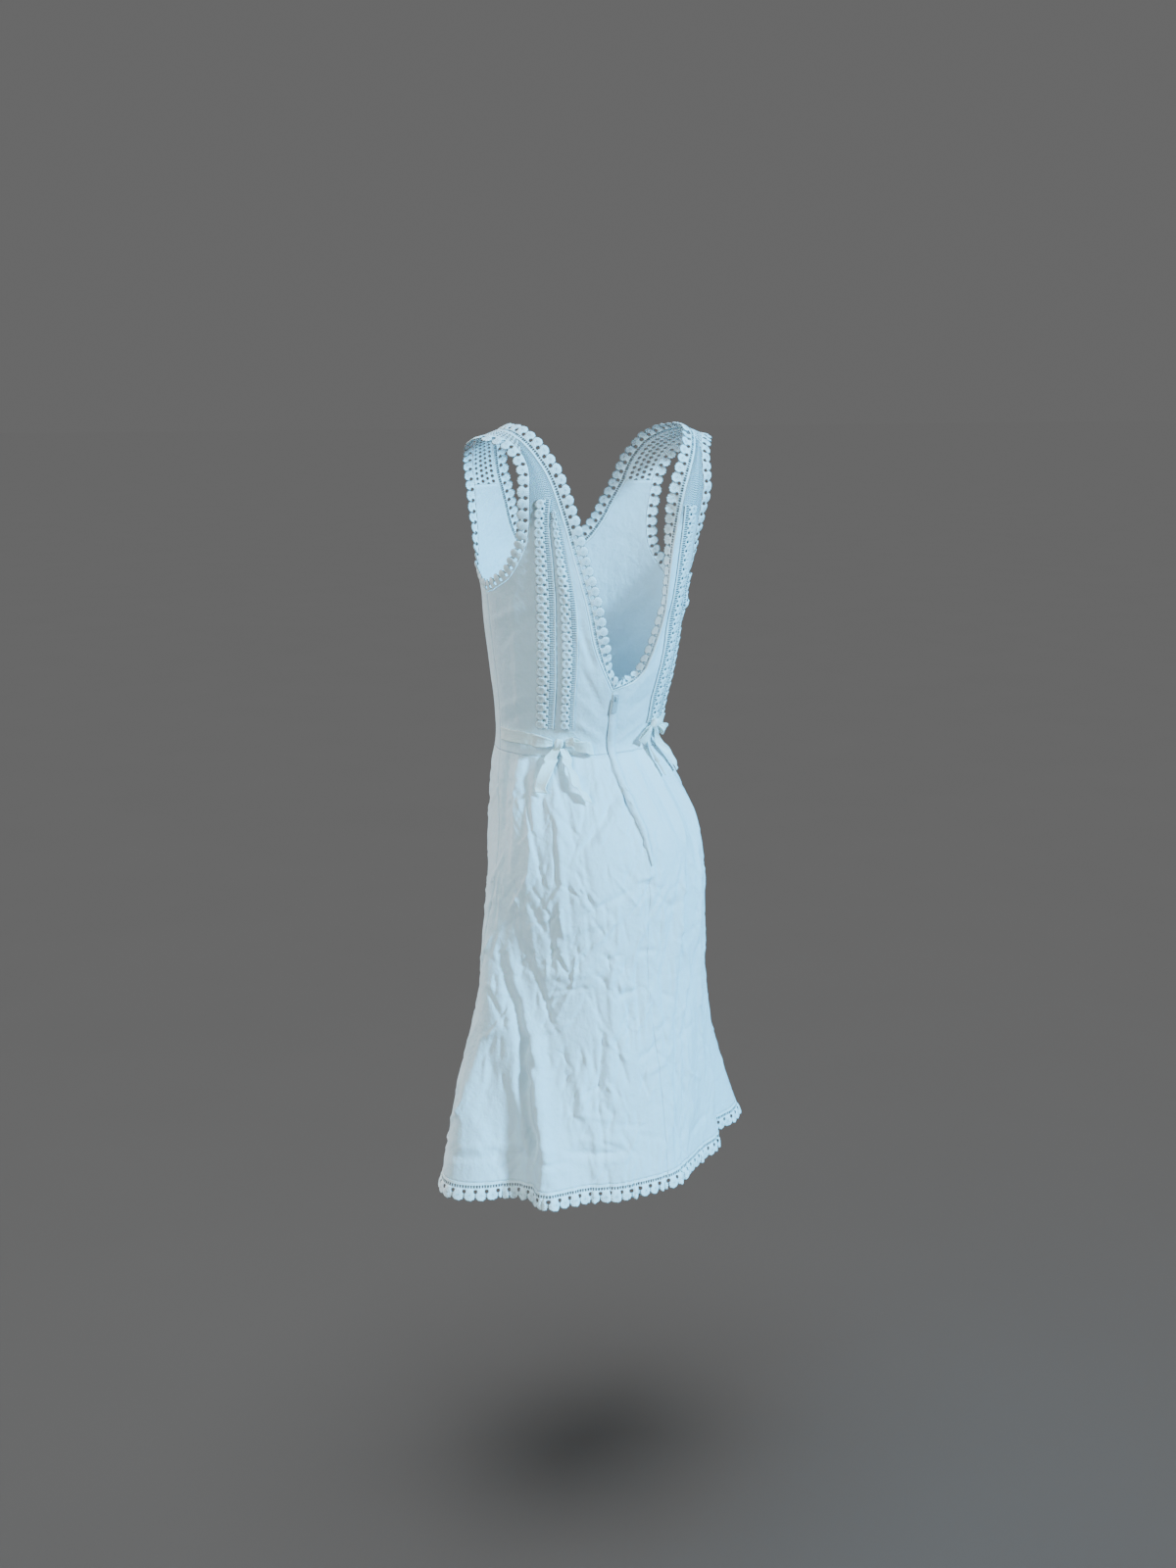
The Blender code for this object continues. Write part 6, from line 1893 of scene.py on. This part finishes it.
def inside_line(grid, side):
    """A line of stitches inside one edge of a grid, in its rows ("start" or "end") or columns
    ("bottom" or "top"), lifted clear of the cloth, with the normals there."""
    if side in ("start", "end"):
        grid = grid.transpose(1, 0, 2)
    normals = sheet_normals(grid)
    if side in ("end", "top"):
        grid, normals = grid[::-1], normals[::-1]
    away = steps_along(grid, 0)
    lower = np.argmax(away > STITCH_INSET, axis=0).clip(1)
    columns = np.arange(grid.shape[1])
    low, high = away[lower - 1, columns], away[lower, columns]
    part = ((STITCH_INSET - low) / np.maximum(high - low, LEAST_STEP)).clip(0, 1)[:, None]
    line = grid[lower - 1, columns] * (1 - part) + grid[lower, columns] * part
    normal = normals[lower, columns]
    return line + normal * STITCH_LIFT, normal


class DressSizes(bpy.types.PropertyGroup):
    """Sizes of the cloth and thread that a user may change."""

    cotton_wall: bpy.props.FloatProperty(
        name="Cotton thickness",
        description="Thickness of the cotton panels",
        default=0.0007,
        unit="LENGTH",
    )
    lace_wall: bpy.props.FloatProperty(
        name="Crochet thickness", description="Thickness of the crochet", default=0.0008, unit="LENGTH"
    )
    ribbon_wall: bpy.props.FloatProperty(
        name="Ribbon thickness",
        description="Thickness of the bows' ribbon",
        default=0.0006,
        unit="LENGTH",
    )
    lace_cell: bpy.props.FloatProperty(
        name="Crochet fineness",
        description="Distance between the points of the crochet",
        default=0.00095,
        unit="LENGTH",
    )
    stitch_pitch: bpy.props.FloatProperty(
        name="Stitch length",
        description="Distance from one sewing stitch to the next",
        default=0.0027,
        unit="LENGTH",
    )
    thread: bpy.props.FloatProperty(
        name="Thread thickness",
        description="Half the thickness of the sewing thread",
        default=0.00022,
        unit="LENGTH",
    )


class DressColours(bpy.types.PropertyGroup):
    """Colours of the dress and the studio."""

    cotton: bpy.props.FloatVectorProperty(
        name="Cotton", description="Colour of the cotton", default=(0.80, 0.87, 0.90), subtype="COLOR"
    )
    crochet: bpy.props.FloatVectorProperty(
        name="Crochet", description="Colour of the crochet", default=(0.90, 0.93, 0.93), subtype="COLOR"
    )
    thread: bpy.props.FloatVectorProperty(
        name="Thread",
        description="Colour of the sewing thread",
        default=(0.82, 0.85, 0.85),
        subtype="COLOR",
    )
    ribbon: bpy.props.FloatVectorProperty(
        name="Ribbon", description="Colour of the bows", default=(0.97, 0.97, 0.92), subtype="COLOR"
    )
    zip: bpy.props.FloatVectorProperty(
        name="Zip",
        description="Colour of the slider and its tab",
        default=(0.56, 0.60, 0.62),
        subtype="COLOR",
    )
    floor: bpy.props.FloatVectorProperty(
        name="Floor",
        description="Colour of the studio floor",
        default=(0.42, 0.42, 0.42),
        subtype="COLOR",
    )


class StudioLight(bpy.types.PropertyGroup):
    """Strength and tint of the studio light."""

    key: bpy.props.FloatProperty(name="Key", description="Strength of the main soft light", default=10.2)
    fill: bpy.props.FloatProperty(
        name="Fill", description="Strength of the weaker soft light", default=2.3
    )
    air: bpy.props.FloatProperty(
        name="Surroundings", description="Strength of the even light", default=0.142
    )
    key_tint: bpy.props.FloatVectorProperty(
        name="Key tint",
        description="Tint of the large soft light",
        default=(0.16, 0.62, 1.0),
        subtype="COLOR",
    )
    fill_tint: bpy.props.FloatVectorProperty(
        name="Fill tint",
        description="Tint of the weaker light",
        default=(0.56, 0.86, 1.0),
        subtype="COLOR",
    )
    back: bpy.props.FloatProperty(
        name="Back", description="Strength of the light behind the dress", default=2.8
    )
    back_tint: bpy.props.FloatVectorProperty(
        name="Back tint",
        description="Tint of the light behind the dress",
        default=(0.90, 0.96, 1.0),
        subtype="COLOR",
    )
    floor: bpy.props.FloatProperty(
        name="Floor", description="Strength of the light on the floor", default=0.62
    )


class DRESS_OT_panels(bpy.types.Operator):
    """Builds the six cotton panels"""

    bl_idname = "dress.panels"
    bl_label = "Cotton panels"

    def execute(self, context):
        wall = context.scene.dress_sizes.cotton_wall
        for name, grid in panels().items():
            finish = cotton(lace=name.startswith("bodice_back"))
            cloth_piece(f"cotton_{name}", grid, finish, wall, "stretched", name)
        return {"FINISHED"}


class DRESS_OT_edgings(bpy.types.Operator):
    """Builds the crochet edgings of the neck, the armholes and the hem"""

    bl_idname = "dress.edgings"
    bl_label = "Crochet edgings"

    def execute(self, context):
        sizes = context.scene.dress_sizes
        backs, fronts = neck_edges()
        for side, word in SIDES:
            name, node = f"neck_edging_back_{word}", f"neck_trim_back_{word}"
            edge = backs[side].trimmed(2 * SEAM, SEAM / 2)
            ways = {"tilt": v_trim(word), "share": v_trim("share"), "mitre": V_MITRE}
            edging(name, edge, "neck", sizes, node, **ways)
            name, node = f"neck_edging_front_{word}", f"neck_trim_front_{word}"
            edging(name, fronts[side].trimmed(SEAM / 2, SEAM / 2), "neck", sizes, node)
        for side, edges in armhole_edges().items():
            for part, edge in zip(("back", "front"), edges):
                name, node = (f"armhole_{kind}_{part}_{WORDS[side]}" for kind in ("edging", "trim"))
                edging(name, edge.trimmed(SEAM / 2, SEAM / 2), "arm", sizes, node)
        for side, edge in hem_edges().items():
            name, node = f"hem_edging_{WORDS[side]}", f"hem_lace_{WORDS[side]}"
            edging(name, edge.trimmed(HEM_JOIN, HEM_JOIN), "hem", sizes, node)
        return {"FINISHED"}


class DRESS_OT_strips(bpy.types.Operator):
    """Builds the crochet straps and the strips on the upper back"""

    bl_idname = "dress.strips"
    bl_label = "Crochet straps and strips"

    def execute(self, context):
        sizes = context.scene.dress_sizes
        strip = crochet("strip", STRIP_PITCH, STRIP_BRAID, "strip")
        for place in STRIPS:
            lace_strip(place, strip, sizes)
        strap = crochet("strap", STRAP_PITCH, STRAP_WIDTH / 2, "strap")
        for side, word in SIDES:
            strap_lace(side, word, strap, sizes)
        return {"FINISHED"}


class DRESS_OT_zip(bpy.types.Operator):
    """Builds the lap over the zip and finishes its slider and pull tab"""

    bl_idname = "dress.zip"
    bl_label = "Zip"

    def execute(self, context):
        wall = context.scene.dress_sizes.cotton_wall
        cloth_piece("cotton_zip_lap", zip_lap_grid(), cotton(), wall, "folded", "zip_lap")
        enamel = material("zip_enamel", zip_finish, context.scene.dress_colours.zip)
        for node in ("zip_slider", "zip_pull_tab"):
            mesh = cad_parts[node].data
            for number in range(len(mesh.materials)):
                mesh.materials[number] = enamel
        return {"FINISHED"}


class DRESS_OT_bows(bpy.types.Operator):
    """Builds the ribbons and knots of the two bows"""

    bl_idname = "dress.bows"
    bl_label = "Bows"

    def execute(self, context):
        wall = context.scene.dress_sizes.ribbon_wall
        for name, table in RIBBONS.items():
            grid = ribbon_grid(table)
            cloth_piece(f"ribbon_{name}", grid, ribbon_cotton(), wall, "folded", name, offset=0.0)
        for name, place in KNOTS.items():
            closed_ball(f"ribbon_{name}", knot_points(place), ribbon_cotton(), name)
        return {"FINISHED"}


class DRESS_OT_stitching(bpy.types.Operator):
    """Sews the visible rows of stitches along seams, headings and the zip"""

    bl_idname = "dress.stitching"
    bl_label = "Stitching"

    def execute(self, context):
        scene = context.scene
        thread = material("sewing_thread", thread_finish, scene.dress_colours.thread)
        runs = []
        for name, grid in panels().items():
            runs.append(inside_line(grid, "bottom"))
            if name.startswith("skirt"):
                runs.append(inside_line(grid, "top"))
        for _, word in SIDES:
            grid = panels()[f"bodice_back_{word}"]
            runs.append(inside_line(grid, "start"))
            above = grid[int(np.argmin(np.abs(back_heights() - UNDERARM))) :]
            runs.append(inside_line(above, "end"))
        lap = zip_lap_grid()
        normals = sheet_normals(lap)
        for column in (1, -2):
            runs.append((lap[:, column] + normals[:, column] * STITCH_LIFT, normals[:, column]))
        sizes = scene.dress_sizes
        stitches("sewing_stitches", runs, thread, sizes.stitch_pitch, sizes.thread)
        return {"FINISHED"}


def aim(obj, target):
    """Turns a light or camera to a point."""
    way = Vector(target) - obj.location
    obj.rotation_euler = way.to_track_quat("-Z", "Y").to_euler()


def soft_light(name, place, spread, power, tint, floor, on_floor=False):
    """An even light from far away, as soft as its spread in degrees, shining from place. It falls on
    everything but the floor, or on the floor alone."""
    data = bpy.data.lights.new(name, "SUN")
    data.angle = math.radians(spread)
    data.energy = power
    data.color = tint
    lamp = bpy.data.objects.new(name, data)
    bpy.context.scene.collection.objects.link(lamp)
    lamp.location = place
    aim(lamp, LIGHT_TARGET)
    falls_on = bpy.data.collections.new(f"{name} falls on")
    falls_on.objects.link(floor)
    falls_on.collection_objects[0].light_linking.link_state = "INCLUDE" if on_floor else "EXCLUDE"
    lamp.light_linking.receiver_collection = falls_on


def seen_from_camera(right, nearer, up):
    """A place or a way as the camera sees it: how far to its right, nearer to it, and up."""
    x, y = CAMERA_WAY
    return Vector((-y, x, 0.0)) * right + Vector((x, y, 0.0)) * nearer + Vector((0.0, 0.0, up))


def lay_floor(scene):
    """The floor, which belongs to the stage."""
    half = FLOOR_HALF
    mesh = bpy.data.meshes.new("floor")
    corners = [(x * half, y * half, FLOOR_HEIGHT) for x, y in ((-1, -1), (1, -1), (1, 1), (-1, 1))]
    mesh.from_pydata(corners, [], [(0, 1, 2, 3)])
    mesh.materials.append(material("studio_floor", floor_finish, scene.dress_colours.floor))
    floor = bpy.data.objects.new("floor", mesh)
    scene.collection.objects.link(floor)
    return floor


def light_studio(scene, floor):
    """The even light of the surroundings, three soft lights on the dress and one on the floor."""
    studio = scene.dress_light
    world = bpy.data.worlds.new("studio")
    world.use_nodes = True
    air = world.node_tree.nodes["Background"]
    air.inputs["Color"].default_value = (*WHITE, 1.0)
    air.inputs["Strength"].default_value = studio.air
    scene.world = world
    for name, place, spread, power, tint in (
        ("key", KEY_FROM, KEY_SPREAD, studio.key, studio.key_tint),
        ("fill", FILL_FROM, FILL_SPREAD, studio.fill, studio.fill_tint),
        ("back", BACK_FROM, FILL_SPREAD, studio.back, studio.back_tint),
    ):
        soft_light(name, seen_from_camera(*place), spread, power, tint, floor)
    place = seen_from_camera(*FLOOR_LIGHT_FROM)
    soft_light("floor light", place, FILL_SPREAD, studio.floor, WHITE, floor, on_floor=True)


def place_camera(scene):
    """The camera that took the photograph."""
    data = bpy.data.cameras.new("camera")
    data.sensor_fit = "VERTICAL"
    data.sensor_height = SENSOR
    data.lens = SENSOR * FOCAL_PIXELS / LONG_SIDE_PIXELS
    camera = bpy.data.objects.new("camera", data)
    scene.collection.objects.link(camera)
    camera.location = seen_from_camera(-CAMERA_ASIDE, CAMERA_AWAY, CAMERA_HEIGHT)
    pitch = math.radians(CAMERA_PITCH)
    aim(camera, camera.location + seen_from_camera(0.0, -math.cos(pitch), -math.sin(pitch)))
    scene.camera = camera


class DRESS_OT_stage(bpy.types.Operator):
    """Sets up the studio: floor, soft light and the camera of the photograph"""

    bl_idname = "dress.stage"
    bl_label = "Studio"

    def execute(self, context):
        light_studio(context.scene, lay_floor(context.scene))
        place_camera(context.scene)
        return {"FINISHED"}


class DRESS_PT_panel(bpy.types.Panel):
    """The dress in the sidebar of the 3D view"""

    bl_label = "Wedding dress"
    bl_space_type = "VIEW_3D"
    bl_region_type = "UI"
    bl_category = "Dress"

    def draw(self, context):
        scene = context.scene
        for group in (scene.dress_sizes, scene.dress_colours, scene.dress_light):
            for name in group.__annotations__:
                self.layout.prop(group, name)
        for operator in OPERATORS:
            self.layout.operator(operator.bl_idname)


OPERATORS = (
    DRESS_OT_panels,
    DRESS_OT_edgings,
    DRESS_OT_strips,
    DRESS_OT_zip,
    DRESS_OT_bows,
    DRESS_OT_stitching,
    DRESS_OT_stage,
)
CLASSES = (DressSizes, DressColours, StudioLight, *OPERATORS, DRESS_PT_panel)


def register():
    """Adds the classes to Blender and the settings to its scenes."""
    for one in CLASSES:
        bpy.utils.register_class(one)
    bpy.types.Scene.dress_sizes = bpy.props.PointerProperty(type=DressSizes)
    bpy.types.Scene.dress_colours = bpy.props.PointerProperty(type=DressColours)
    bpy.types.Scene.dress_light = bpy.props.PointerProperty(type=StudioLight)


def unregister():
    """Takes the settings and the classes away again."""
    del bpy.types.Scene.dress_sizes
    del bpy.types.Scene.dress_colours
    del bpy.types.Scene.dress_light
    for one in reversed(CLASSES):
        bpy.utils.unregister_class(one)


def main():
    """Builds every piece and the stage."""
    register()
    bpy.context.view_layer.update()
    for operator in OPERATORS:
        group, name = operator.bl_idname.split(".")
        getattr(getattr(bpy.ops, group), name)()
    bpy.context.view_layer.update()


if __name__ == "__main__":
    main()
